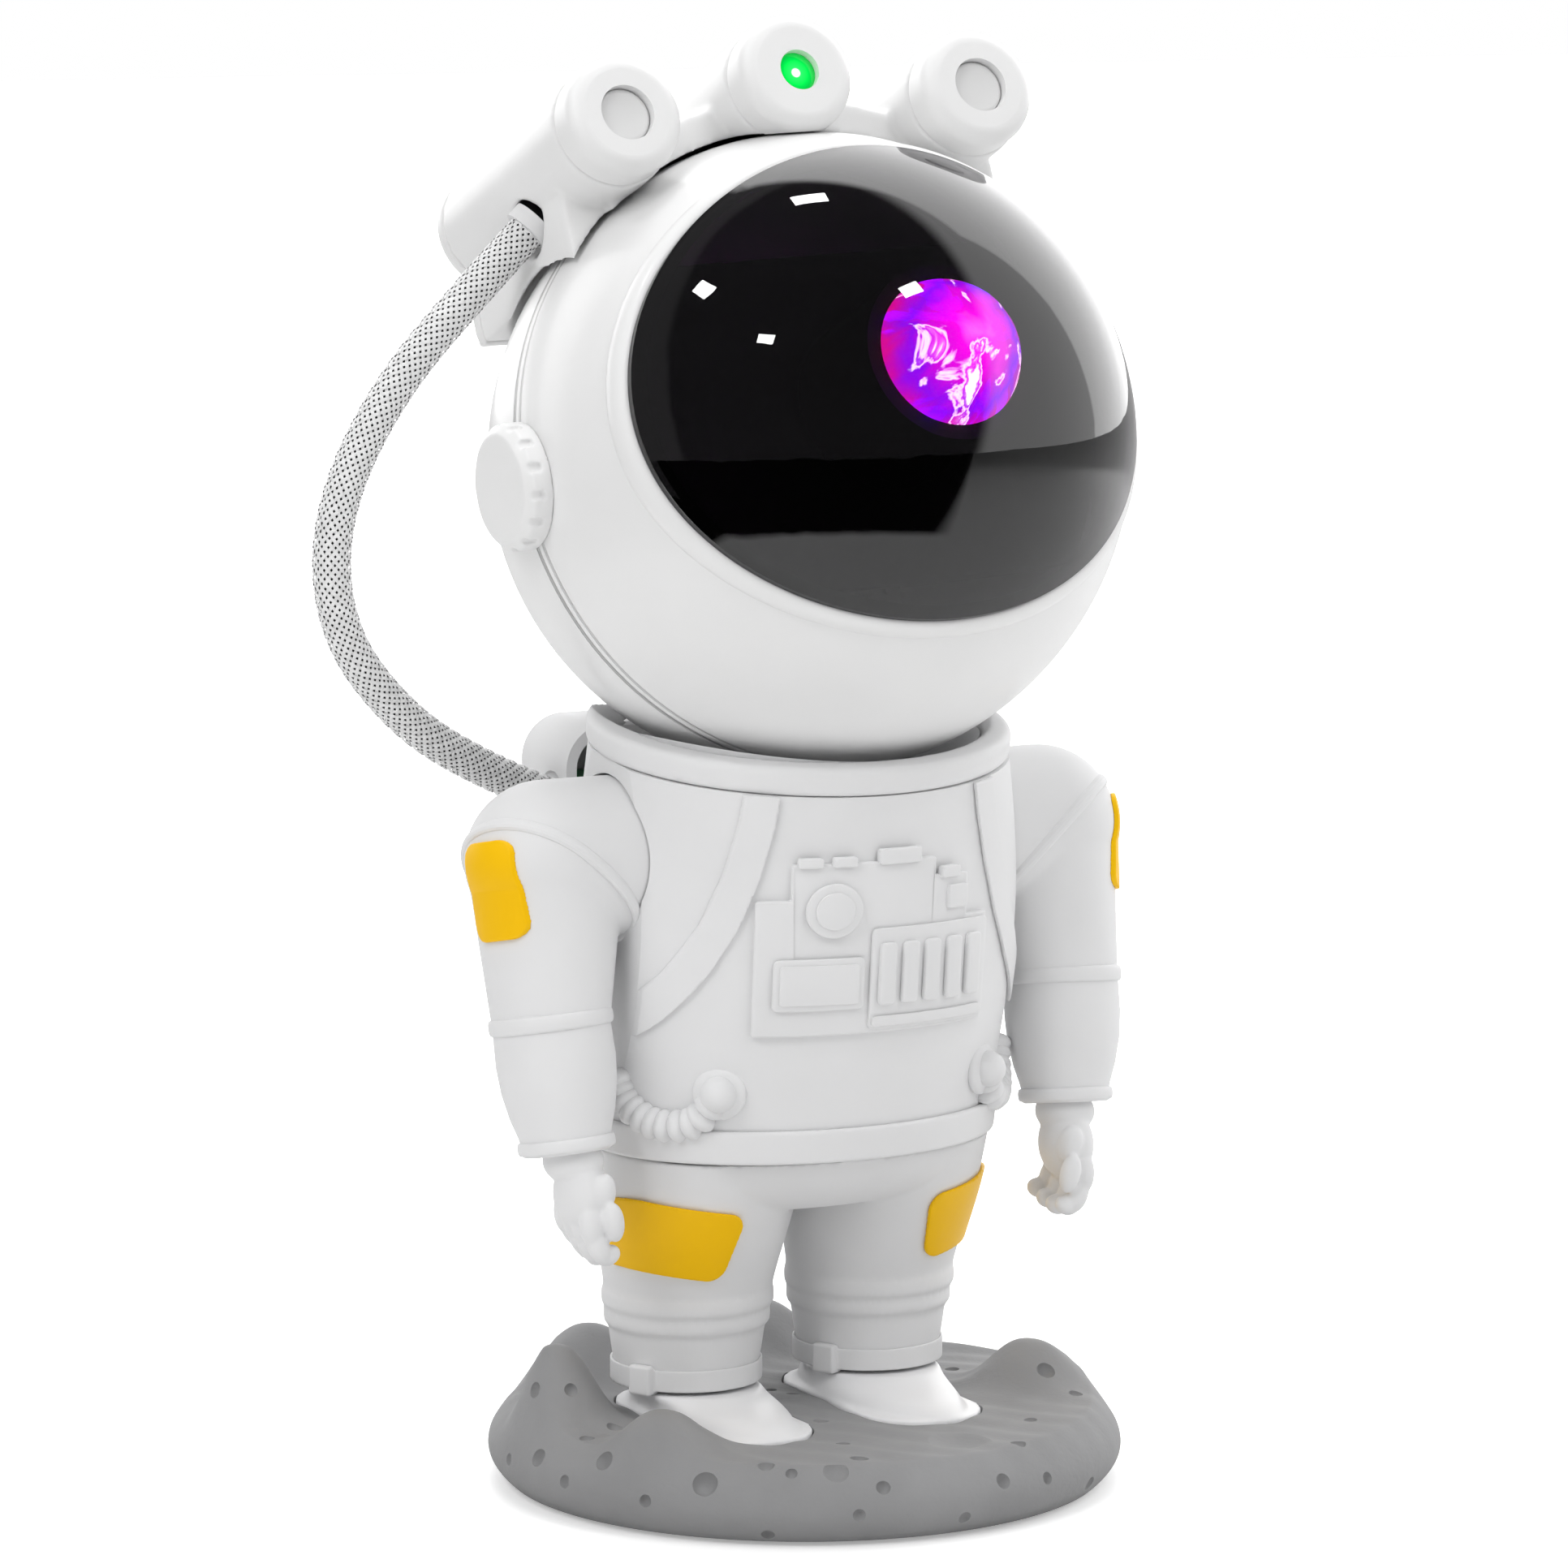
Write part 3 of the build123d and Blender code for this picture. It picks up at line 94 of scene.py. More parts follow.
def only(piece):
    """Leave one piece selected and active."""
    bpy.ops.object.select_all(action="DESELECT")
    piece.select_set(True)
    bpy.context.view_layer.objects.active = piece


def closed(piece, turn=True):
    """Merge the doubles that a reshaped primitive has at its seams and poles, and point its faces out."""
    only(piece)
    bpy.ops.object.mode_set(mode="EDIT")
    bpy.ops.mesh.select_all(action="SELECT")
    bpy.ops.mesh.remove_doubles(threshold=1e-6)
    if turn:
        bpy.ops.mesh.normals_make_consistent(inside=False)
    bpy.ops.object.mode_set(mode="OBJECT")
    return piece


def reshaped(piece, place):
    """Take each vertex (x, y, z) of a primitive to place(x, y, z), in mm, and close the form."""
    for v in piece.data.vertices:
        v.co = Vector(place(*v.co)) * MM
    return closed(piece)


def applied(piece, kind, **settings):
    """Add a modifier with these settings and apply it."""
    only(piece)
    modifier = piece.modifiers.new(kind.title(), kind)
    for key, value in settings.items():
        setattr(modifier, key, value)
    bpy.ops.object.modifier_apply(modifier=modifier.name)
    return piece


def smooth(piece, angle):
    """Shade smooth over edges that turn less than this many degrees."""
    only(piece)
    bpy.ops.object.shade_smooth_by_angle(angle=radians(angle))
    return piece


def fitted(piece, body, material, *nodes, slot=None):
    """Finish a piece: its material, the body that it rides on, and the CAD nodes that it stands for."""
    piece.data.materials.clear()
    piece.data.materials.append(material)
    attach(piece, body)
    if nodes:
        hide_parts(*nodes)
    return piece


def finished(material, *nodes):
    """Give CAD nodes whose shape is right a better material."""
    for node in nodes:
        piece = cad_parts[node]
        if not piece.material_slots:
            piece.data.materials.append(material)
        for place in piece.material_slots:
            place.material = material


def computed(tree, operation, *values, kind="ShaderNodeMath"):
    """Add a maths node: each value is a number, a vector or an output to link."""
    node = tree.nodes.new(kind)
    node.operation = operation
    for socket, value in zip(node.inputs, values):
        if isinstance(value, bpy.types.NodeSocket):
            tree.links.new(value, socket)
        else:
            socket.default_value = value
    return node.outputs["Value"]


def ranged(tree, value, low, high, to_low=0.0, to_high=1.0, soft=False):
    """Add a node that takes a value from the range low to high to another range, and no further."""
    node = tree.nodes.new("ShaderNodeMapRange")
    if soft:
        node.interpolation_type = "SMOOTHSTEP"
    for name, number in (("From Min", low), ("From Max", high), ("To Min", to_low), ("To Max", to_high)):
        node.inputs[name].default_value = number
    tree.links.new(value, node.inputs["Value"])
    return node.outputs["Result"]


def mixed(tree, factor, first, second):
    """Add a node that mixes two shaders."""
    node = tree.nodes.new("ShaderNodeMixShader")
    for socket, value in zip(node.inputs, (factor, first, second)):
        tree.links.new(value, socket)
    return node.outputs["Shader"]


def moulding_group():
    """Slow tone, fine grain and faint wear that change over a moulded surface."""
    group = bpy.data.node_groups.get("moulding")
    if group:
        return group
    group = bpy.data.node_groups.new("moulding", "ShaderNodeTree")
    for name, kind in (
            ("Place", "NodeSocketVector"), ("Grain", "NodeSocketFloat"), ("Tone", "NodeSocketFloat")):
        group.interface.new_socket(name, in_out="INPUT", socket_type=kind)
    for name in ("Mottle", "Height", "Fade"):
        group.interface.new_socket(name, in_out="OUTPUT", socket_type="NodeSocketFloat")
    nodes, links = group.nodes, group.links
    start, end = nodes.new("NodeGroupInput"), nodes.new("NodeGroupOutput")
    slow, fine, mid = (nodes.new("ShaderNodeTexNoise") for _ in range(3))
    for noise, detail in ((slow, 3.0), (fine, 2.0), (mid, 4.0)):
        noise.inputs["Detail"].default_value = detail
        links.new(start.outputs["Place"], noise.inputs["Vector"])
    links.new(start.outputs["Tone"], slow.inputs["Scale"])
    links.new(start.outputs["Grain"], fine.inputs["Scale"])
    mid.inputs["Scale"].default_value = 320.0
    links.new(slow.outputs["Fac"], end.inputs["Mottle"])
    links.new(fine.outputs["Fac"], end.inputs["Height"])
    links.new(mid.outputs["Fac"], end.inputs["Fade"])
    return group


def moulded(name, colour, rough, grain=1400.0, bump=0.04, vary=0.035, tone=45.0, coat=0.0,
            metallic=0.0, depth=0.1):
    """A moulded or machined finish: one colour with slow tone changes, and the grain of its mould."""
    material = bpy.data.materials.new(name)
    material.use_nodes = True
    tree = material.node_tree
    nodes, links = tree.nodes, tree.links
    shader = nodes["Principled BSDF"]
    shader.inputs["Metallic"].default_value = metallic
    shader.inputs["Coat Weight"].default_value = coat
    shader.inputs["Coat Roughness"].default_value = 0.12
    place = nodes.new("ShaderNodeTexCoord")
    surface = nodes.new("ShaderNodeGroup")
    surface.node_tree = moulding_group()
    surface.inputs["Grain"].default_value = grain
    surface.inputs["Tone"].default_value = tone
    links.new(place.outputs["Object"], surface.inputs["Place"])
    mix = nodes.new("ShaderNodeMix")
    mix.data_type = "RGBA"
    mix.inputs["A"].default_value = (*(c * (1 - vary) for c in colour), 1)
    mix.inputs["B"].default_value = (*(min(c * (1 + vary), 0.95) for c in colour), 1)
    links.new(ranged(tree, surface.outputs["Mottle"], 0.3, 0.7), mix.inputs["Factor"])
    links.new(mix.outputs["Result"], shader.inputs["Base Color"])
    worn = ranged(tree, surface.outputs["Fade"], 0.0, 1.0, rough * 0.88, min(rough * 1.12, 1.0))
    links.new(worn, shader.inputs["Roughness"])
    relief = nodes.new("ShaderNodeBump")
    relief.inputs["Strength"].default_value = bump
    relief.inputs["Distance"].default_value = depth * MM
    links.new(surface.outputs["Height"], relief.inputs["Height"])
    links.new(relief.outputs["Normal"], shader.inputs["Normal"])
    return material


def moon_top(x, y):
    """Height of the ground above the plain: its hills, and two faint swells that keep it from being flat."""
    rise = sum(
        h * np.exp(-(((x - a) ** 2 + (y - b) ** 2) / (2 * s * s)) ** HILL_SHAPE) for a, b, h, s in HILLS)
    return rise + 0.18 * sin(x * 0.31 + 1.0) * cos(y * 0.27) + 0.12 * sin(x * 0.8 + y * 0.55)


def moon_place(x, y, z):
    """Wrap a unit ball round the base: its top is the ground, its lower part the bulged side and the foot."""
    s = acos(max(-1.0, min(1.0, z))) / pi
    turn = atan2(y, x)
    if s < TOP_SHARE:
        r, h = TOP_R * s / TOP_SHARE, TOP_Z
    elif s < SIDE_SHARE:
        h = TOP_Z + (FOOT_Z - TOP_Z) * (s - TOP_SHARE) / (SIDE_SHARE - TOP_SHARE)
        k = (h - SIDE_Z) / (TOP_Z - SIDE_Z) if h > SIDE_Z else (SIDE_Z - h) / (SIDE_Z - FOOT_Z)
        r = SIDE_R - (SIDE_R - (TOP_R if h > SIDE_Z else FOOT_R)) * k * k
    else:
        r, h = FOOT_R * (1 - s) / (1 - SIDE_SHARE), FOOT_Z
    px, py = BASE_X + r * cos(turn), r * sin(turn)
    lift = max(0.0, min(1.0, (h - HILL_FOOT_Z) / (TOP_Z - HILL_FOOT_Z)))
    edge = 1.0 - RIM_FALL * max(0.0, r - RIM_R) if s < TOP_SHARE else SIDE_RISE
    return px, py, h + moon_top(px, py) * lift ** HILL_FADE * edge


def joined(name, pieces):
    """Join loose pieces into one."""
    bpy.ops.object.select_all(action="DESELECT")
    for piece in pieces:
        piece.select_set(True)
    bpy.context.view_layer.objects.active = pieces[0]
    bpy.ops.object.join()
    return added(name)


def pitted(piece, pits):
    """Cut round pits with crisp rims: (x, y, z) near the surface, rim radius and depth, in mm."""
    cutters = []
    for x, y, z, r, depth in pits:
        _, spot, normal, _ = piece.closest_point_on_mesh(Vector((x, y, z)) * MM)
        reach = (r * r + depth * depth) / (2 * depth)
        bpy.ops.mesh.primitive_uv_sphere_add(
            segments=32, ring_count=18, radius=reach * MM, location=spot + normal * (reach - depth) * MM)
        cutters.append(bpy.context.object)
    cutter = joined("pit_cutter", cutters)
    applied(piece, "BOOLEAN", operation="DIFFERENCE", object=cutter, solver="EXACT")
    bpy.data.objects.remove(cutter)
    return piece


bpy.ops.object.select_all(action="DESELECT")
bpy.ops.mesh.primitive_uv_sphere_add(segments=440, ring_count=216, radius=1)
ground = added("moon_ground")
for v in ground.data.vertices:
    v.co = Vector(moon_place(*v.co)) * MM
closed(ground)
pitted(ground, [(x, y, z, r * PIT_RIM, depth * PIT_DEEP) for x, y, z, r, depth in PITS] + CRATERS)
straight = BOOT_HALF_L - BOOT_HALF_W
for side in (-1, 1):
    bpy.ops.mesh.primitive_cylinder_add(vertices=72, radius=1, depth=1)
    pocket = added("boot_pocket_cutter")
    reshaped(pocket, lambda x, y, z: (
        side * BOOT_X + x * BOOT_HALF_W,
        BOOT_Y + y * BOOT_HALF_W + (straight if y > 0 else -straight),
        POCKET_Z + (z + 0.5) * POCKET_CUT))
    applied(ground, "BOOLEAN", operation="DIFFERENCE", object=pocket, solver="EXACT")
    bpy.data.objects.remove(pocket)
moon_grey = moulded("moon_grey_moulding", (0.28, 0.28, 0.284), 0.75, grain=1100, bump=0.45, vary=0.06,
                    tone=70, depth=0.15)
fitted(smooth(ground, 40), "base", moon_grey, "base_shell", slot="moon_grey")
base_black = moulded("base_underside_plastic", (0.045, 0.045, 0.048), 0.5)
rubber = moulded("foot_rubber", (0.03, 0.03, 0.03), 0.85, grain=500, bump=0.2)
screw_steel = moulded("screw_steel", (0.55, 0.55, 0.56), 0.3, metallic=1.0, vary=0.06)
finished(base_black, "base_plate")
finished(rubber, "foot_pad")
finished(screw_steel, "base_screws")


# ---- boots ---------------------------------------------------------------------------------------
# Each boot is a satin white moulding that stands in its pocket in the base. Its instep rises to a shaft
# that plugs into the trouser leg.
def softened(node, name, voxel, rounds):
    """A copy of a CAD solid with its edges rounded as a mould rounds them: voxel in mm, smoothing rounds."""
    piece = bpy.data.objects.new(name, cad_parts[node].data.copy())
    bpy.context.scene.collection.objects.link(piece)
    closed(piece, turn=False)
    applied(piece, "REMESH", mode="VOXEL", voxel_size=voxel * MM)
    applied(piece, "SMOOTH", iterations=rounds, factor=0.5)
    return smooth(piece, 60)


boot_white = moulded("boot_gloss_white", (0.84, 0.84, 0.85), 0.45, grain=900, bump=0.03, vary=0.02, coat=0.06)
for side in ("right", "left"):
    boot = softened(f"boot_{side}", f"boot_moulding_{side}", 0.4, 6)
    fitted(boot, "figure", boot_white, f"boot_{side}", slot="boot_white")


# ---- trousers, ankle straps and thigh patches ----------------------------------------------------
# Hips and legs are one matt white moulding with two soft rolls at each knee. A strap with a square
# buckle is moulded round each ankle, and a yellow patch lies on each thigh.
suit_white = moulded("suit_matt_white", (0.76, 0.76, 0.765), 0.62, grain=1500, bump=0.08, vary=0.02)
patch_yellow = moulded("patch_yellow", (0.93, 0.53, 0.0), 0.42, grain=1500, bump=0.06, vary=0.03)
patch_yellow.node_tree.nodes["Principled BSDF"].inputs["Specular IOR Level"].default_value = 0.2
for node, name, voxel, rounds in (
        ("trousers", "trouser_moulding", 0.45, 5), ("ankle_straps", "ankle_strap_mouldings", 0.22, 3)):
    fitted(softened(node, name, voxel, rounds), "figure", suit_white, node, slot="matte_white")
thighs = softened("thigh_patches", "thigh_patch_mouldings", 0.18, 4)
fitted(thighs, "figure", patch_yellow, "thigh_patches", slot="yellow_patch")


# ---- torso, hem, straps and collar ---------------------------------------------------------------
# The torso is two matt white shells round a black magnet holder. A hem band runs round its lower edge,
# two harness straps come down from the collar, and the collar band stands round the neck dish.
finished(suit_white, "torso_front", "torso_back", "neck_dish")
for node, name, voxel, rounds in (
        ("hem_band", "hem_band_moulding", 0.28, 4), ("harness_straps", "harness_strap_mouldings", 0.2, 3),
        ("collar_ring", "collar_band_moulding", 0.32, 5)):
    fitted(softened(node, name, voxel, rounds), "figure", suit_white, node, slot="matte_white")
dark_magnet = moulded("magnet_nickel", (0.4, 0.4, 0.41), 0.25, metallic=1.0)
holder_black = moulded("holder_black", (0.04, 0.04, 0.042), 0.45)
finished(holder_black, "magnet_holder")
finished(dark_magnet, "neck_magnet")


# ---- chest panel and waist hoses -----------------------------------------------------------------
# The chest panel is a raised plate that follows the torso, with a round dial, a flat screen, five
# upright bars and small tabs on its top edge. A beaded hose runs from a ball to each side.
TORSO_SECTIONS = [  # height, half width, half depth, centre y
    (54.8, 31.9, 24.6, -2.6), (66.0, 33.0, 25.8, -3.0), (80.0, 34.8, 27.4, -3.6),
    (95.0, 35.4, 28.4, -4.0), (108.0, 34.2, 28.8, -4.4), (124.0, 32.6, 28.4, -4.6),
]


def on_torso(x, out, z):
    """A point that lies out millimetres in front of the torso's front, over (x, z)."""
    for low, high in zip(TORSO_SECTIONS, TORSO_SECTIONS[1:]):
        if z <= high[0]:
            break
    t = (z - low[0]) / (high[0] - low[0])
    half_x, half_y, cy = (low[i] + t * (high[i] - low[i]) for i in (1, 2, 3))
    x = max(-half_x * 0.995, min(half_x * 0.995, x))
    lean = sqrt(1 - (x / half_x) ** 2)
    across = Vector((x / half_x ** 2, -lean / half_y, 0)).normalized()
    return Vector((x, cy - half_y * lean, z)) + across * out


def raised(name, outline, out0, out1, round_by):
    """A plate with this outline (x, z), laid on the torso from out0 to out1 mm over it, its rim rounded."""
    bpy.ops.mesh.primitive_circle_add(vertices=len(outline), radius=1, fill_type="NGON")
    piece = added(name)
    for v, (x, z) in zip(piece.data.vertices, outline):
        v.co = (x, 0, z)
    only(piece)
    bpy.ops.object.mode_set(mode="EDIT")
    bpy.ops.mesh.select_all(action="SELECT")
    bpy.ops.mesh.extrude_region_move(TRANSFORM_OT_translate={"value": (0, out1 - out0, 0)})
    bpy.ops.mesh.select_all(action="SELECT")
    bpy.ops.mesh.normals_make_consistent(inside=False)
    bpy.ops.object.mode_set(mode="OBJECT")
    applied(piece, "BEVEL", width=round_by, segments=3, limit_method="ANGLE", angle_limit=radians(50))
    left, right = min(x for x, z in outline), max(x for x, z in outline)
    only(piece)
    bpy.ops.object.mode_set(mode="EDIT")
    steps = int(right - left)
    for k in range(1, steps):
        bpy.ops.mesh.select_all(action="SELECT")
        bpy.ops.mesh.bisect(plane_co=(left + k * (right - left) / steps, 0, 0), plane_no=(1, 0, 0))
    bpy.ops.object.mode_set(mode="OBJECT")
    return reshaped(piece, lambda x, y, z: on_torso(x, out0 + y, z))


def box_outline(x0, x1, z0, z1, r):
    """A rectangle with rounded corners."""
    points = []
    corners = (x1 - r, z1 - r, 0), (x0 + r, z1 - r, 90), (x0 + r, z0 + r, 180), (x1 - r, z0 + r, 270)
    for cx, cz, start in corners:
        for k in range(5):
            a = radians(start + k * 22.5)
            points.append((cx + r * cos(a), cz + r * sin(a)))
    return points


parts = [raised("chest_plate", [
    (-19.3, 75.0), (19.0, 75.0), (19.0, 91.8), (14.6, 91.8), (14.6, 98.4), (8.2, 98.6), (8.2, 101.4),
    (-14.8, 101.4), (-14.8, 95.9), (-19.6, 95.9)], -0.4, 1.2, 0.35)]
parts.append(raised("panel_left_step", box_outline(-2.6, 18.6, 75.6, 91.2, 0.8), 1.0, 1.7, 0.25))
parts.append(raised("panel_band", box_outline(-2.2, 17.6, 76.0, 77.7, 0.5), 1.6, 2.1, 0.2))
for k, x in enumerate((-1.5, 2.3, 6.1, 10.1, 14.0)):
    parts.append(raised(f"panel_bar_{k}", box_outline(x, x + 2.7, 79.4, 89.0, 0.7), 1.5, 2.5, 0.35))
parts.append(raised("panel_screen_frame", box_outline(-16.9, -3.6, 79.0, 87.0, 0.8), 1.1, 1.8, 0.25))
parts.append(raised("panel_screen", box_outline(-16.0, -4.5, 79.9, 86.1, 0.5), 1.7, 2.1, 0.15))
DIAL_X, DIAL_Z = -8.6, 94.3
for name, dial_r, corners, out0, out1, rim in (
        ("panel_dial", 4.2, 48, 1.1, 2.0, 0.3), ("panel_dial_face", 2.9, 40, 1.9, 2.4, 0.2)):
    turns = [2 * pi * k / corners for k in range(corners)]
    circle = [(DIAL_X + dial_r * cos(a), DIAL_Z + dial_r * sin(a)) for a in turns]
    parts.append(raised(name, circle, out0, out1, rim))
TABS = [(-14.0, -10.4, 100.9, 102.4), (-9.0, -5.4, 100.9, 102.4), (-1.9, 5.0, 101.0, 103.3),
        (9.0, 12.4, 98.0, 99.8), (10.4, 14.0, 93.2, 96.8)]
for k, (x0, x1, z0, z1) in enumerate(TABS):
    parts.append(raised(f"panel_tab_{k}", box_outline(x0, x1, z0, z1, 0.4), 0.4, 1.9, 0.25))
panel = joined("chest_panel_mouldings", parts)
fitted(smooth(panel, 40), "figure", suit_white, "chest_panel", slot="matte_white")

BEAD_ROUTE = [(22.6, 66.2), (25.0, 61.6), (28.8, 60.6), (31.4, 63.0), (32.6, 67.4)]   # x, z
BEAD_STEPS = 24
BALL_X, BALL_Z = 22.6, 66.0


def bead_line():
    """Points (x, z) on a smooth curve through the beaded hose's route."""
    line = []
    for k in range(BEAD_STEPS + 1):
        t = k / BEAD_STEPS * (len(BEAD_ROUTE) - 1)
        i = min(int(t), len(BEAD_ROUTE) - 2)
        p0, p1, p2, p3 = (Vector(BEAD_ROUTE[max(0, min(len(BEAD_ROUTE) - 1, i + d))]) for d in (-1, 0, 1, 2))
        u = t - i
        line.append(0.5 * (2 * p1 + (p2 - p0) * u + (2 * p0 - 5 * p1 + 4 * p2 - p3) * u * u
                           + (3 * p1 - p0 - 3 * p2 + p3) * u ** 3))
    return line


beads = []
for side in (-1, 1):
    spots = [on_torso(side * x, 0.5, z) for x, z in bead_line()]
    for k in range(3, BEAD_STEPS + 1, 2):
        way = (spots[min(k + 1, BEAD_STEPS)] - spots[k - 1]).normalized()
        bpy.ops.mesh.primitive_uv_sphere_add(segments=32, ring_count=16, radius=1)
        bead = added("hose_bead")
        turn = way.to_track_quat("Z", "Y")
        reshaped(bead, lambda x, y, z: spots[k] + turn @ Vector((x * 2.55, y * 2.55, z * 1.6)))
        beads.append(bead)
    bpy.ops.mesh.primitive_uv_sphere_add(segments=48, ring_count=24, radius=1)
    ball = added("hose_ball")
    reshaped(ball, lambda x, y, z: on_torso(side * BALL_X, 1.2, BALL_Z) + Vector((x, y, z)) * 2.8)
    beads.append(ball)
    bpy.ops.mesh.primitive_uv_sphere_add(segments=48, ring_count=24, radius=1)
    seat = added("hose_seat")
    foot = on_torso(side * BALL_X, 0, BALL_Z)
    across = (on_torso(side * BALL_X, 2, BALL_Z) - foot).to_track_quat("Z", "Y")
    reshaped(seat, lambda x, y, z: foot + across @ Vector((x * 4.1, y * 4.1, z * 1.5)))
    beads.append(seat)
hoses = smooth(joined("waist_hose_mouldings", beads), 60)
fitted(hoses, "figure", suit_white, "waist_hoses", slot="matte_white")


# ---- arms ----------------------------------------------------------------------------------------
# Each arm hangs from its shoulder pin. The sleeve has a raised ring at the shoulder, the elbow and the
# cuff, a yellow patch lies on the upper arm, and the gloved hand is moulded with its fingers half closed.
SHOULDER, RING_FACING, RING_OUT, RING_R = (42.8, -4.0, 100.4), (0.60, -0.446, -0.663), 2.9, 12.0
ELBOW, CUFF = Vector((44.4, -8.8, 76.8)), Vector((43.4, -12.2, 57.6))


def turned(name, start, end, profile):
    """A turned form on the line from start to end: profile holds (distance along it, radius) pairs."""
    turn = (end - start).normalized().to_track_quat("Z", "Y")
    rows = len(profile)
    bpy.ops.mesh.primitive_grid_add(x_subdivisions=96, y_subdivisions=rows - 1, size=2)
    piece = added(name)

    def place(x, y, z):
        a = (x + 1) * pi
        along, r = profile[round((y + 1) / 2 * (rows - 1))]
        return start + turn @ Vector((r * cos(a), r * sin(a), along))

    return reshaped(piece, place)


def roll(s, r, half, rise):
    """Profile points of a rounded ring round a limb, half its width each way from s."""
    return [(s - half * cos(pi * k / 8), r + rise * sin(pi * k / 8) ** 0.6) for k in range(9)]


def ellipsoid(name, centre, radii, tilt=(0, 0)):
    """A part of a hand, tilted about X and then about Y by these degrees."""
    bpy.ops.mesh.primitive_uv_sphere_add(segments=32, ring_count=18, radius=1)
    turn = Matrix.Rotation(radians(tilt[1]), 3, "Y") @ Matrix.Rotation(radians(tilt[0]), 3, "X")
    return reshaped(added(name), lambda x, y, z: Vector(centre) + turn @ Vector(
        (x * radii[0], y * radii[1], z * radii[2])))


def glove(side):
    """Palm, four half-closed fingers and a thumb, grown together."""
    x = side * 42.2
    forms = [
        ellipsoid("palm", (x, -14.4, 51.2), (3.9, 5.6, 5.8)),
        ellipsoid("wrist", (x + side * 0.6, -13.0, 56.0), (4.6, 5.0, 3.6)),
    ]
    for k, drop in enumerate((0.4, 0.0, 0.5, 1.6)):
        y = -19.0 + k * 2.9
        forms += [
            ellipsoid("knuckle", (x + side * 0.5, y + 0.2, 47.2 + drop * 0.4), (1.9, 1.65, 3.4), (-6, 0)),
            ellipsoid("finger", (x - side * 0.5, y, 43.6 + drop), (1.75, 1.5, 3.0), (-8, side * 22)),
            ellipsoid("fingertip", (x - side * 2.3, y + 0.3, 41.9 + drop), (2.1, 1.4, 1.6), (0, side * 20)),
        ]
    forms.append(ellipsoid("thumb_root", (x - side * 1.6, -18.4, 51.6), (2.0, 2.0, 3.6), (24, 0)))
    forms.append(ellipsoid("thumb", (x - side * 2.6, -20.2, 47.6), (1.6, 1.7, 3.2), (8, side * 10)))
    hand = joined("glove", forms)
    applied(hand, "REMESH", mode="VOXEL", voxel_size=0.3 * MM)
    applied(hand, "SMOOTH", iterations=5, factor=0.5)
    return smooth(hand, 60)


def armhole_ring(upper, side):
    """A raised ring that runs slanting round the shoulder, on the sleeve's own surface."""
    facing = Vector((side * RING_FACING[0], *RING_FACING[1:])).normalized()
    middle = Vector((side * SHOULDER[0], *SHOULDER[1:])) + facing * RING_OUT
    first = facing.cross(Vector((1, 0, 0))).normalized()
    second = facing.cross(first)
    bpy.ops.mesh.primitive_torus_add(major_segments=160, minor_segments=14, major_radius=1, minor_radius=0.25)

    def place(x, y, z):
        turn = atan2(y, x)
        out = first * cos(turn) + second * sin(turn)
        found, spot, _, _ = upper.ray_cast((middle + out * 25) * MM, -out)
        reach = (spot / MM - middle).length if found else RING_R
        return middle + out * (reach - 0.25 + (sqrt(x * x + y * y) - 1) * 3.2) + facing * z * 4.4

    return reshaped(added("armhole_ring"), place)


for side, name in ((-1, "right"), (1, "left")):
    body = f"{name}_arm"
    elbow, cuff = Vector((side * ELBOW.x, ELBOW.y, ELBOW.z)), Vector((side * CUFF.x, CUFF.y, CUFF.z))
    length = (cuff - elbow).length
    profile = [
        (-2.2, 0.0), (-2.2, 8.5), (-1.9, 8.85), *roll(0.0, 8.95, 1.25, 0.55),
        (2.6, 9.0), (6.0, 9.1), (10.0, 8.8), (14.0, 8.0), (length - 2.6, 7.1),
        *roll(length - 0.9, 6.95, 1.0, 0.5), (length + 0.4, 6.5), (length + 0.4, 0.0)]
    fore = joined(f"forearm_moulding_{name}", [turned("sleeve", elbow, cuff, profile), glove(side)])
    fitted(smooth(fore, 50), body, suit_white, f"forearm_{name}", slot="matte_white")
    upper = softened(f"upper_arm_{name}", f"upper_arm_moulding_{name}", 0.45, 5)
    upper = joined(f"upper_arm_moulding_{name}", [upper, armhole_ring(upper, side)])
    fitted(upper, body, suit_white, f"upper_arm_{name}", slot="matte_white")
    patch = softened(f"arm_patch_{name}", f"arm_patch_moulding_{name}", 0.14, 7)
    fitted(patch, body, patch_yellow, f"arm_patch_{name}", slot="yellow_patch")
    finished(suit_white, f"shoulder_pin_{name}")


# ---- backpack ------------------------------------------------------------------------------------
# The backpack is a matt white tray with a screwed cover. Two round push buttons stand in it, the board
# is behind them, and the power inlet is at the bottom.
button_white = moulded("button_satin_white", (0.8, 0.8, 0.8), 0.35, vary=0.02)
board_green = moulded("board_green_varnish", (0.02, 0.14, 0.05), 0.35, coat=0.4, vary=0.2, tone=300)
inlet_steel = moulded("inlet_steel", (0.6, 0.6, 0.6), 0.28, metallic=1.0)
finished(suit_white, "backpack_shell", "backpack_cover")
finished(button_white, "power_button", "mode_button")
finished(board_green, "circuit_board")
finished(inlet_steel, "usb_socket")
finished(suit_white, "pack_grommet", "crown_grommet")


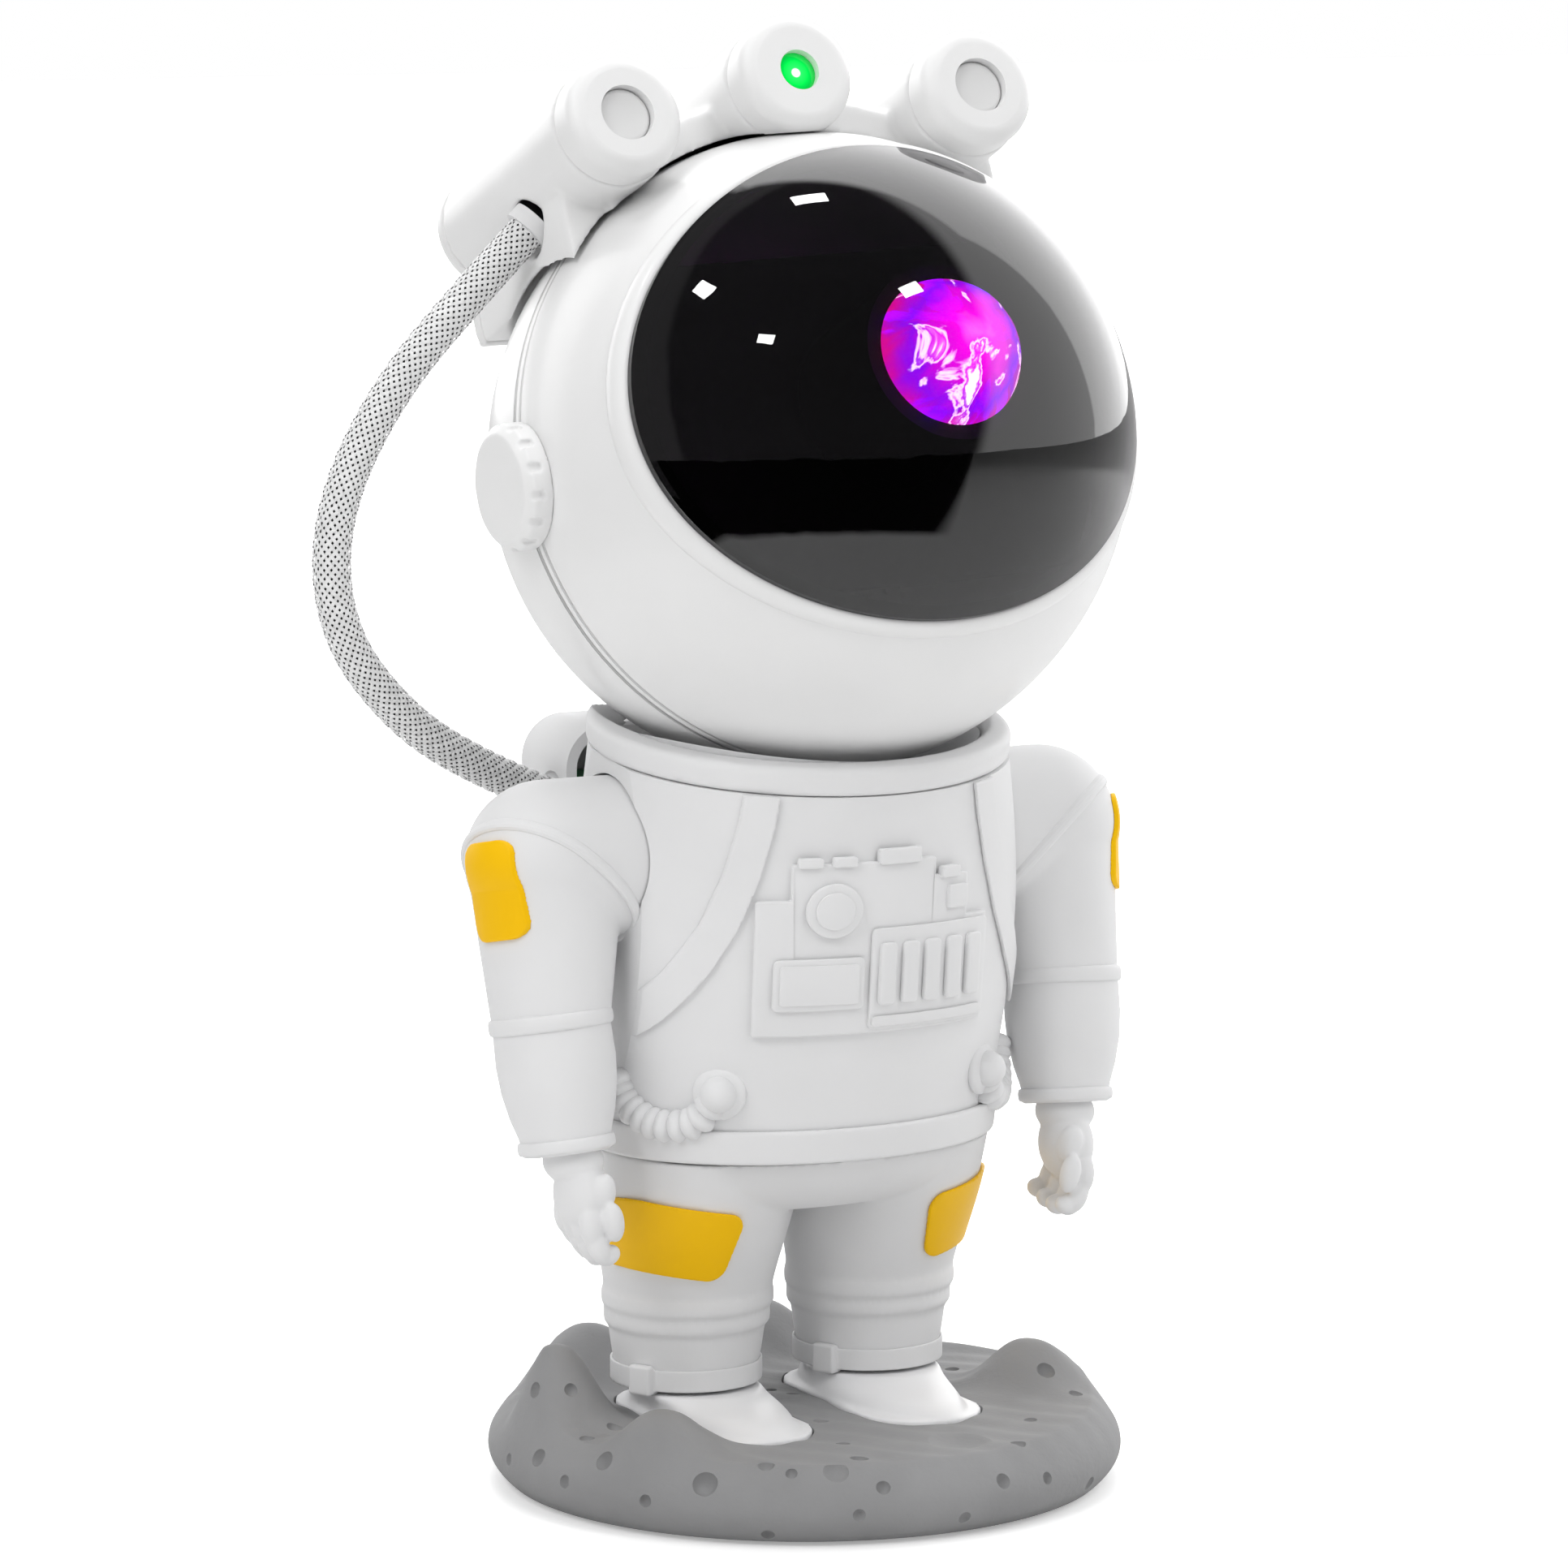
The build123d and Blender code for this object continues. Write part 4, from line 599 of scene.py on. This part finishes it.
# ---- helmet --------------------------------------------------------------------------------------
# The helmet is two glossy white shells that meet in a moulded groove over the ears. A low lip runs round
# the face opening, a knurled disc sits on each side, and a steel plate in the chin meets the neck magnet.
HEAD = Vector((1.4, -4.8, 159.8))
HEAD_TURN = (Matrix.Rotation(radians(-0.97), 3, "Z") @ Matrix.Rotation(radians(-23.0), 3, "X")
             @ Matrix.Rotation(radians(-3.2), 3, "Y"))
HELMET_R, HELMET_FRONT, VISOR_A, VISOR_B = 48.6, 52.6, 42.0, 37.0
GROOVES = ((0.0, 0.34, 1.0), (-1.9, 0.26, 0.6))     # y at the ears, half width, share of the full depth and of the painted shade
GROOVE_LEAN = 0.1
LIP_OUT, LIP_HALF_W, LIP_RISE, LIP_SINK = 0.7, 1.0, 0.9, 0.15


def on_head(x, y, z):
    """From the head's own frame, forward -Y, to where the head is at rest."""
    return HEAD + HEAD_TURN @ Vector((x, y, z))


def head_place(tree):
    """Object coordinates turned into the head's own frame, in millimetres."""
    place = tree.nodes.new("ShaderNodeTexCoord")
    shift = tree.nodes.new("ShaderNodeMapping")
    shift.vector_type = "TEXTURE"
    shift.inputs["Location"].default_value = HEAD * MM
    shift.inputs["Rotation"].default_value = HEAD_TURN.to_euler("XYZ")
    shift.inputs["Scale"].default_value = (MM, MM, MM)
    tree.links.new(place.outputs["Object"], shift.inputs["Vector"])
    return shift.outputs["Vector"]


def grooved(material):
    """Cut the parting groove between the helmet's shells, and a fainter line in front, into a finish, and
    darken its colour in them as painted shade.
    """
    tree = material.node_tree
    nodes, links = tree.nodes, tree.links
    shader = nodes["Principled BSDF"]
    parts = nodes.new("ShaderNodeSeparateXYZ")
    links.new(head_place(tree), parts.inputs["Vector"])
    back = computed(tree, "MULTIPLY_ADD", parts.outputs["Z"], GROOVE_LEAN, parts.outputs["Y"])
    walls = []
    for offset, half, deep in GROOVES:
        away = computed(tree, "ABSOLUTE", computed(tree, "SUBTRACT", back, offset))
        walls.append(ranged(tree, away, half * 0.4, half * 1.7, 1 - deep, soft=True))
    height = computed(tree, "MULTIPLY", *walls)
    cut = nodes.new("ShaderNodeBump")
    cut.inputs["Strength"].default_value = 1.0
    cut.inputs["Distance"].default_value = 0.5 * MM
    old = shader.inputs["Normal"].links[0].from_node
    links.new(height, cut.inputs["Height"])
    links.new(old.outputs["Normal"], cut.inputs["Normal"])
    links.new(cut.outputs["Normal"], shader.inputs["Normal"])
    # Painted shade: the base colour is darkened toward grey inside the grooves, where shade falls.
    groove_shade = nodes.new("ShaderNodeMix")
    groove_shade.data_type = "RGBA"
    groove_shade.inputs["A"].default_value = (0.42, 0.42, 0.42, 1)
    links.new(height, groove_shade.inputs["Factor"])
    links.new(shader.inputs["Base Color"].links[0].from_socket, groove_shade.inputs["B"])
    links.new(groove_shade.outputs["Result"], shader.inputs["Base Color"])
    return material


helmet_white = grooved(moulded(
    "helmet_gloss_white", (0.80, 0.80, 0.80), 0.36, grain=700, bump=0.02, vary=0.015, coat=0.2))
crown_white = moulded(
    "crown_satin_white", (0.80, 0.80, 0.80), 0.4, grain=900, bump=0.04, vary=0.015, coat=0.1)
finished(helmet_white, "helmet_front", "helmet_back")
ears = softened("ear_discs", "ear_disc_mouldings", 0.26, 3)
fitted(ears, "head", crown_white, "ear_discs", slot="gloss_white")
finished(moulded("keeper_steel", (0.5, 0.5, 0.5), 0.35, metallic=1.0), "keeper_plate")

bpy.ops.mesh.primitive_torus_add(major_segments=256, minor_segments=16, major_radius=1, minor_radius=0.25)
lip = added("visor_lip")


def lip_place(x, y, z):
    """Lay the ring round the face opening, half sunk in the helmet."""
    turn, out, high = atan2(y, x), (sqrt(x * x + y * y) - 1) * 4 * LIP_HALF_W, z * 4 * LIP_RISE
    a, b = VISOR_A + LIP_OUT + out, VISOR_B + LIP_OUT + out
    px, pz = a * cos(turn), b * sin(turn)
    py = -HELMET_FRONT * sqrt(max(0.0, 1 - (px * px + pz * pz) / HELMET_R ** 2))
    away = Vector((px / HELMET_R ** 2, py / HELMET_FRONT ** 2, pz / HELMET_R ** 2)).normalized()
    return on_head(*(Vector((px, py, pz)) + away * (high - LIP_SINK)))


fitted(smooth(reshaped(lip, lip_place), 60), "head", helmet_white, slot="gloss_white")


# ---- visor, bezel and ball lens ------------------------------------------------------------------
# The visor is a dark see-through dome glued into a black bezel. Behind it the ball lens glows in magenta
# and violet where the lamp board shines through the nebula wheel.
visor_black = moulded("bezel_gloss_black", (0.006, 0.006, 0.007), 0.12, bump=0.01)
inner_black = moulded("inner_matt_black", (0.006, 0.006, 0.007), 0.55)
finished(visor_black, "visor_ring")
finished(inner_black, "optics_frame", "motor_plate", "laser_holder")
visor_smoked = moulded("visor_smoked", (0.1, 0.095, 0.105), 0.02, grain=40, bump=0.0, vary=0.1)
visor_shader = visor_smoked.node_tree.nodes["Principled BSDF"]
visor_shader.inputs["Transmission Weight"].default_value = 1.0
visor_shader.inputs["IOR"].default_value = 1.62
finished(visor_smoked, "visor")


def glowing(name, rows, waver, streak, strength, centre):
    """A lit optic: rings of colour, (radius, colour) each, round its centre (x, z of the head).

    The rings waver by this share of the whole radius, and streaks of this strength are added to them.
    """
    reach_mm = rows[-1][0]
    material = moulded(name, rows[-1][1], 0.08, coat=0.6, bump=0.0)
    tree = material.node_tree
    nodes, links = tree.nodes, tree.links
    shader = nodes["Principled BSDF"]
    flat = nodes.new("ShaderNodeMapping")
    flat.inputs["Scale"].default_value = (1, 0, 1)
    flat.inputs["Location"].default_value = (-centre[0], 0, -centre[1])
    links.new(head_place(tree), flat.inputs["Vector"])
    reach = computed(tree, "LENGTH", flat.outputs["Vector"], kind="ShaderNodeVectorMath")
    noises = []
    for scale, distortion, detail in ((0.2, 1.0, 2.0), (0.13, 0.9, 5.0)):
        noise = nodes.new("ShaderNodeTexNoise")
        noise.inputs["Scale"].default_value = scale
        noise.inputs["Detail"].default_value = detail
        noise.inputs["Distortion"].default_value = distortion
        links.new(flat.outputs["Vector"], noise.inputs["Vector"])
        noises.append(noise)
    wave = computed(tree, "MULTIPLY_ADD", noises[0].outputs["Fac"], reach_mm * waver, reach)
    span = ranged(tree, wave, reach_mm * waver * 0.5, reach_mm * (1 + waver * 0.5))
    ramp = nodes.new("ShaderNodeValToRGB")
    ramp.color_ramp.elements.remove(ramp.color_ramp.elements[0])
    for k, (at, colour) in enumerate(rows):
        spot = ramp.color_ramp.elements[0] if k == 0 else ramp.color_ramp.elements.new(at / reach_mm)
        spot.position = at / reach_mm
        spot.color = (*colour, 1)
    links.new(span, ramp.inputs["Fac"])
    streaks = nodes.new("ShaderNodeValToRGB")
    streaks.color_ramp.elements[0].position = 0.40
    streaks.color_ramp.elements[0].color = (0.0, 0.0, 0.8, 1)
    streaks.color_ramp.elements[1].position = 0.46
    streaks.color_ramp.elements[1].color = (0, 0, 0, 1)
    for at, colour in (
            (0.56, (0, 0, 0)), (0.585, (0.8, 0.7, 0.8)), (0.61, (0.1, 0, 0.1)),
            (0.64, (0.2, 0.1, 0.2)), (0.665, (1, 1, 1))):
        streaks.color_ramp.elements.new(at).color = (*colour, 1)
    links.new(noises[1].outputs["Fac"], streaks.inputs["Fac"])
    both = nodes.new("ShaderNodeMix")
    both.data_type = "RGBA"
    both.blend_type = "ADD"
    both.inputs["Factor"].default_value = streak
    links.new(ramp.outputs["Color"], both.inputs["A"])
    links.new(streaks.outputs["Color"], both.inputs["B"])
    links.new(both.outputs["Result"], shader.inputs["Emission Color"])
    shader.inputs["Emission Strength"].default_value = strength
    return material


lens_glow = glowing("ball_lens_glow", [
    (0.0, (0.7, 0.1, 0.7)), (3.0, (0.75, 0.0, 0.6)), (6.5, (0.5, 0.0, 0.5)), (9.0, (0.2, 0.0, 0.6)),
    (11.6, (0.5, 0.0, 0.2))], 0.6, 1.0, 16.0, (4.3, 1.7))
finished(lens_glow, "ball_lens")


# ---- crown, lamps and laser window ---------------------------------------------------------------
# Three lamp tubes stand on a curved saddle over the helmet, moulded as one satin white piece. A rounded
# cap closes the front of each tube: a button in both side caps, a green window in the middle one.
for node, name, voxel, rounds in (
        ("crown_housing", "crown_moulding", 0.55, 7), ("crown_rear_cover", "crown_rear_moulding", 0.45, 5)):
    fitted(softened(node, name, voxel, rounds), "head", crown_white, node, slot="gloss_white")
finished(crown_white, "lamp_caps")
finished(moulded("lamp_button_white", (0.72, 0.72, 0.72), 0.4), "lamp_buttons")
laser_glow = glowing("laser_window_glow", [
    (0.0, (1.0, 1.0, 1.0)), (0.55, (1.0, 1.0, 1.0)), (0.8, (0.02, 0.9, 0.1)), (2.0, (0.0, 0.5, 0.05)),
    (3.2, (0.0, 0.2, 0.02))], 0.05, 0.0, 1.6, (0.0, 52.8))
finished(laser_glow, "laser_window")


# ---- drives and boards inside the head -----------------------------------------------------------
# The nebula wheel and the star grating turn on small gear motors behind the lens and the laser.
nylon = moulded("gear_nylon", (0.62, 0.6, 0.5), 0.45, vary=0.05)
brass = moulded("laser_brass", (0.7, 0.5, 0.2), 0.28, metallic=1.0)
sink_grey = moulded("heat_sink_anodised", (0.25, 0.25, 0.26), 0.4, metallic=1.0)
finished(nylon, "nebula_wheel", "grating_wheel", "motor_pinion", "grating_pinion")
finished(brass, "laser_module")
finished(screw_steel, "wheel_motor", "grating_motor")
finished(board_green, "lamp_board")
finished(sink_grey, "heat_sink")


# ---- braided hose --------------------------------------------------------------------------------
# The hose from the crown to the backpack wears a white braid of flat bundles, woven over and under
# round a black core. It is built in two lengths that meet halfway.
HOSE_R, CORE_R, STRANDS, PITCH = 2.75, 2.4, 16, 21.0
BUNDLE_HALF, WEAVE_RISE, BUNDLE_CROWN, FILAMENT_RISE = 0.118, 0.13, 0.1, 0.07   # radians, then mm
BUNDLE_STEP, CORE_STEP, BLEND_IN = 0.33, 0.8, 6.0
HOSE_ROUTE = [
    (-36.9, 10.4, 195.6), (-45.5, 11.6, 187.0), (-60.5, 13.6, 170.5), (-69.6, 14.6, 152.0),
    (-68.6, 15.0, 134.6), (-57.0, 17.4, 120.6), (-42.0, 21.4, 111.4), (-26.9, 26.6, 105.2),
]
curve = bpy.data.curves.new("hose_route", "CURVE")
curve.dimensions = "3D"
curve.resolution_u = 48
spline = curve.splines.new("NURBS")
spline.points.add(len(HOSE_ROUTE) - 1)
for point, spot in zip(spline.points, HOSE_ROUTE):
    point.co = (*(c * MM for c in spot), 1)
spline.order_u = 3
spline.use_endpoint_u = True
guide = bpy.data.objects.new("hose_route", curve)
bpy.context.scene.collection.objects.link(guide)
bpy.context.view_layer.update()
line = bpy.data.meshes.new_from_object(guide.evaluated_get(bpy.context.evaluated_depsgraph_get()))
read = np.array([v.co[:] for v in line.vertices]) / MM
bpy.data.objects.remove(guide)
bpy.data.meshes.remove(line)
walked = np.concatenate([[0], np.cumsum(np.linalg.norm(np.diff(read, axis=0), axis=1))])
HOSE_LENGTH = float(walked[-1])


def hose_point(s):
    """The point s mm along the hose's line."""
    return Vector([float(np.interp(s, walked, read[:, c])) for c in range(3)])


STEPS = 620
spots = [hose_point(HOSE_LENGTH * k / STEPS) for k in range(STEPS + 1)]
ways = [(spots[min(k + 1, STEPS)] - spots[max(k - 1, 0)]).normalized() for k in range(STEPS + 1)]
side_way = Vector((0, 1, 0))    # carried along the line, so that the braid doesn't twist with it
sides = []
for way in ways:
    side_way = (side_way - way * side_way.dot(way)).normalized()
    sides.append(side_way.copy())


def round_hose(s, angle, r):
    """The point at this angle and radius round the hose's line, s mm along it."""
    k = max(0.0, min(float(STEPS), s / HOSE_LENGTH * STEPS))
    i = min(int(k), STEPS - 1)
    u = k - i
    way, out = ways[i].lerp(ways[i + 1], u), sides[i].lerp(sides[i + 1], u)
    return spots[i].lerp(spots[i + 1], u) + (out * cos(angle) + way.cross(out) * sin(angle)) * r


def braid(name, s0, s1):
    """Both sets of flat bundles over one length of the hose."""
    bundles = []
    rows = int((s1 - s0) / BUNDLE_STEP)
    for hand in (-1, 1):
        for k in range(STRANDS):
            bpy.ops.mesh.primitive_grid_add(x_subdivisions=rows, y_subdivisions=4, size=2)
            bundle = added("bundle")

            def place(x, y, z):
                s = s0 + (x + 1) / 2 * (s1 - s0)
                angle = hand * 2 * pi * s / PITCH + 2 * pi * k / STRANDS
                weave = sin(2 * pi * s / PITCH * STRANDS + k * pi) * hand
                filament = FILAMENT_RISE * abs(sin(y * 1.5 * pi))
                r = HOSE_R + WEAVE_RISE * weave + BUNDLE_CROWN * (1 - y * y) + filament
                return round_hose(s, angle + y * BUNDLE_HALF, r)

            for v in bundle.data.vertices:
                v.co = place(*v.co) * MM
            bundles.append(bundle)
    return smooth(joined(name, bundles), 60)


def core(name, s0, s1):
    """The black core under the braid."""
    rows = int((s1 - s0) / CORE_STEP)
    bpy.ops.mesh.primitive_grid_add(x_subdivisions=rows, y_subdivisions=40, size=2)
    return smooth(reshaped(added(name), lambda x, y, z: round_hose(
        s0 + (x + 1) / 2 * (s1 - s0), (y + 1) * pi, CORE_R)), 60)


braid_white = moulded("braid_nylon_white", (0.80, 0.80, 0.80), 0.5, grain=2600, bump=0.2, vary=0.06, tone=400)
core_black = moulded("hose_core_black", (0.02, 0.02, 0.022), 0.5)
HALF = HOSE_LENGTH * 0.5
for part, s0, s1, low_body, high_body in (
        ("upper", 0.0, HALF, "head", "head_swivel"), ("lower", HALF, HOSE_LENGTH, "head_swivel", "figure")):
    sleeve, inner = braid(f"hose_braid_{part}", s0, s1), core(f"hose_core_{part}", s0, s1)
    sleeve.data.materials.append(braid_white)
    inner.data.materials.append(core_black)
    tube = joined(f"hose_{part}", [sleeve, inner])
    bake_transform(tube)
    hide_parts("hose_sleeve")


# ---- floor, lights and camera --------------------------------------------------------------------
# A plain pale floor runs out to a white surround and keeps a soft shadow. Large soft boxes light the
# figure, four small ones show as highlights, and what the gloss mirrors is a dark room with a white wall.
bpy.ops.mesh.primitive_plane_add(size=12, location=(0, 0, 0))
floor = added("floor")
floor_material = moulded("floor_white", (0.9, 0.9, 0.9), 0.6, bump=0.0, vary=0.0)
tree = floor_material.node_tree
nodes, links = tree.nodes, tree.links
eye = nodes.new("ShaderNodeLightPath")
ground_spot = nodes["Texture Coordinate"].outputs["Object"]
spread = computed(tree, "LENGTH", ground_spot, kind="ShaderNodeVectorMath")

# The camera sees the floor whiten with distance, until it meets the surround.
whiter = ranged(tree, spread, 0.07, 0.30, 0.34, 1.0, soft=True)
white = nodes.new("ShaderNodeEmission")
links.new(computed(tree, "MULTIPLY", whiter, eye.outputs["Is Camera Ray"]), white.inputs["Strength"])
both = nodes.new("ShaderNodeAddShader")
links.new(nodes["Principled BSDF"].outputs["BSDF"], both.inputs[0])
links.new(white.outputs["Emission"], both.inputs[1])

# Mirrored in gloss, the floor in front of the figure ends in the dark of the room.
beyond = ranged(tree, spread, 0.33, 0.36)
ahead = ranged(tree, computed(
    tree, "DOT_PRODUCT", ground_spot, (-0.806, -0.432, 0.0), kind="ShaderNodeVectorMath"), 0.05, 0.09)
dark = computed(tree, "MULTIPLY", computed(tree, "MULTIPLY", beyond, ahead), eye.outputs["Is Glossy Ray"])
unlit = nodes.new("ShaderNodeEmission")
unlit.inputs["Strength"].default_value = 0.01
ends = mixed(tree, dark, both.outputs["Shader"], unlit.outputs["Emission"])
links.new(ends, nodes["Material Output"].inputs["Surface"])
floor.data.materials.append(floor_material)

world = bpy.data.worlds.new("studio")
bpy.context.scene.world = world
world.use_nodes = True
tree = world.node_tree
nodes, links = tree.nodes, tree.links
surround = nodes["Background"]
surround.inputs["Color"].default_value = (1, 1, 1, 1)
surround.inputs["Strength"].default_value = 0.27
seen = nodes.new("ShaderNodeBackground")
seen.inputs["Color"].default_value = (1, 1, 1, 1)
seen.inputs["Strength"].default_value = 1.0

# What gloss mirrors: each zone faces one way, and its tone runs from low to high as the view turns there.
mirrored = nodes.new("ShaderNodeBackground")
where = nodes.new("ShaderNodeTexCoord")
bright = None
for choice, facing, low_at, high_at, low_to, high_to in (
        ("FIRST", (0.573, 0.702, -0.42), -0.02, 0.06, 0.008, 3.4),
        ("MINIMUM", (0.0, 1.0, 0.0), -0.02, 0.04, 0.008, 3.4),
        ("MAXIMUM", (0.806, 0.432, -0.405), -0.02, 0.1, 0.0, 1.8),
        ("MAXIMUM", (-0.18, 0.886, -0.427), -0.03, 0.02, 0.0, 0.2)):
    side_of = computed(
        tree, "DOT_PRODUCT", where.outputs["Generated"], facing, kind="ShaderNodeVectorMath")
    zone = ranged(tree, side_of, low_at, high_at, low_to, high_to, soft=True)
    bright = zone if choice == "FIRST" else computed(tree, choice, bright, zone)
links.new(bright, mirrored.inputs["Strength"])

# The camera, and what is seen through the visor, meet plain white.
rays = nodes.new("ShaderNodeLightPath")
lit = mixed(
    tree, rays.outputs["Is Glossy Ray"], surround.outputs["Background"], mirrored.outputs["Background"])
open_air = computed(tree, "MAXIMUM", rays.outputs["Is Camera Ray"], rays.outputs["Is Transmission Ray"])
links.new(mixed(tree, open_air, lit, seen.outputs["Background"]), nodes["World Output"].inputs["Surface"])


def soft_box(name, spot, width, height, power, in_gloss):
    """A lamp with a rectangular front, aimed at the figure; in_gloss says that glossy surfaces show it."""
    lamp = bpy.data.lights.new(name, "AREA")
    lamp.shape = "RECTANGLE"
    lamp.size, lamp.size_y, lamp.energy = width, height, power
    stand = bpy.data.objects.new(name, lamp)
    bpy.context.scene.collection.objects.link(stand)
    stand.location = spot
    stand.rotation_euler = (Vector((0, 0, 0.14)) - stand.location).to_track_quat("-Z", "Y").to_euler()
    stand.visible_glossy = in_gloss
    stand.visible_transmission = False


soft_box("fill_left", (-1.0, -0.35, 0.9), 0.8, 0.8, 6.2, False)
soft_box("fill_front", (0.35, -1.25, 1.1), 0.9, 0.7, 6.0, False)
soft_box("fill_top", (0.1, 0.2, 1.5), 1.0, 1.0, 8.0, False)
soft_box("fill_right", (1.1, 0.1, 0.6), 0.7, 0.9, 4.8, False)
soft_box("spot_top", (0.086, 0.297, 1.35), 0.17, 0.1, 1.3, True)
soft_box("spot_left", (-0.76, 0.1, 1.13), 0.14, 0.1, 1.0, True)
soft_box("spot_front", (-0.767, -0.546, 0.98), 0.12, 0.07, 0.7, True)
soft_box("spot_right", (0.285, -0.633, 1.196), 0.17, 0.09, 1.2, True)

shot = bpy.data.cameras.new("camera")
shot.lens = 152.12
shot.sensor_width = 36.0
shot.clip_end = 50.0
camera = bpy.data.objects.new("camera", shot)
bpy.context.scene.collection.objects.link(camera)
camera.location = (-0.4742, -0.8918, 0.2508)
camera.rotation_euler = (Vector((0, 0, 0.1088)) - camera.location).to_track_quat("-Z", "Y").to_euler()
bpy.context.scene.camera = camera
bpy.context.scene.view_settings.view_transform = "Standard"
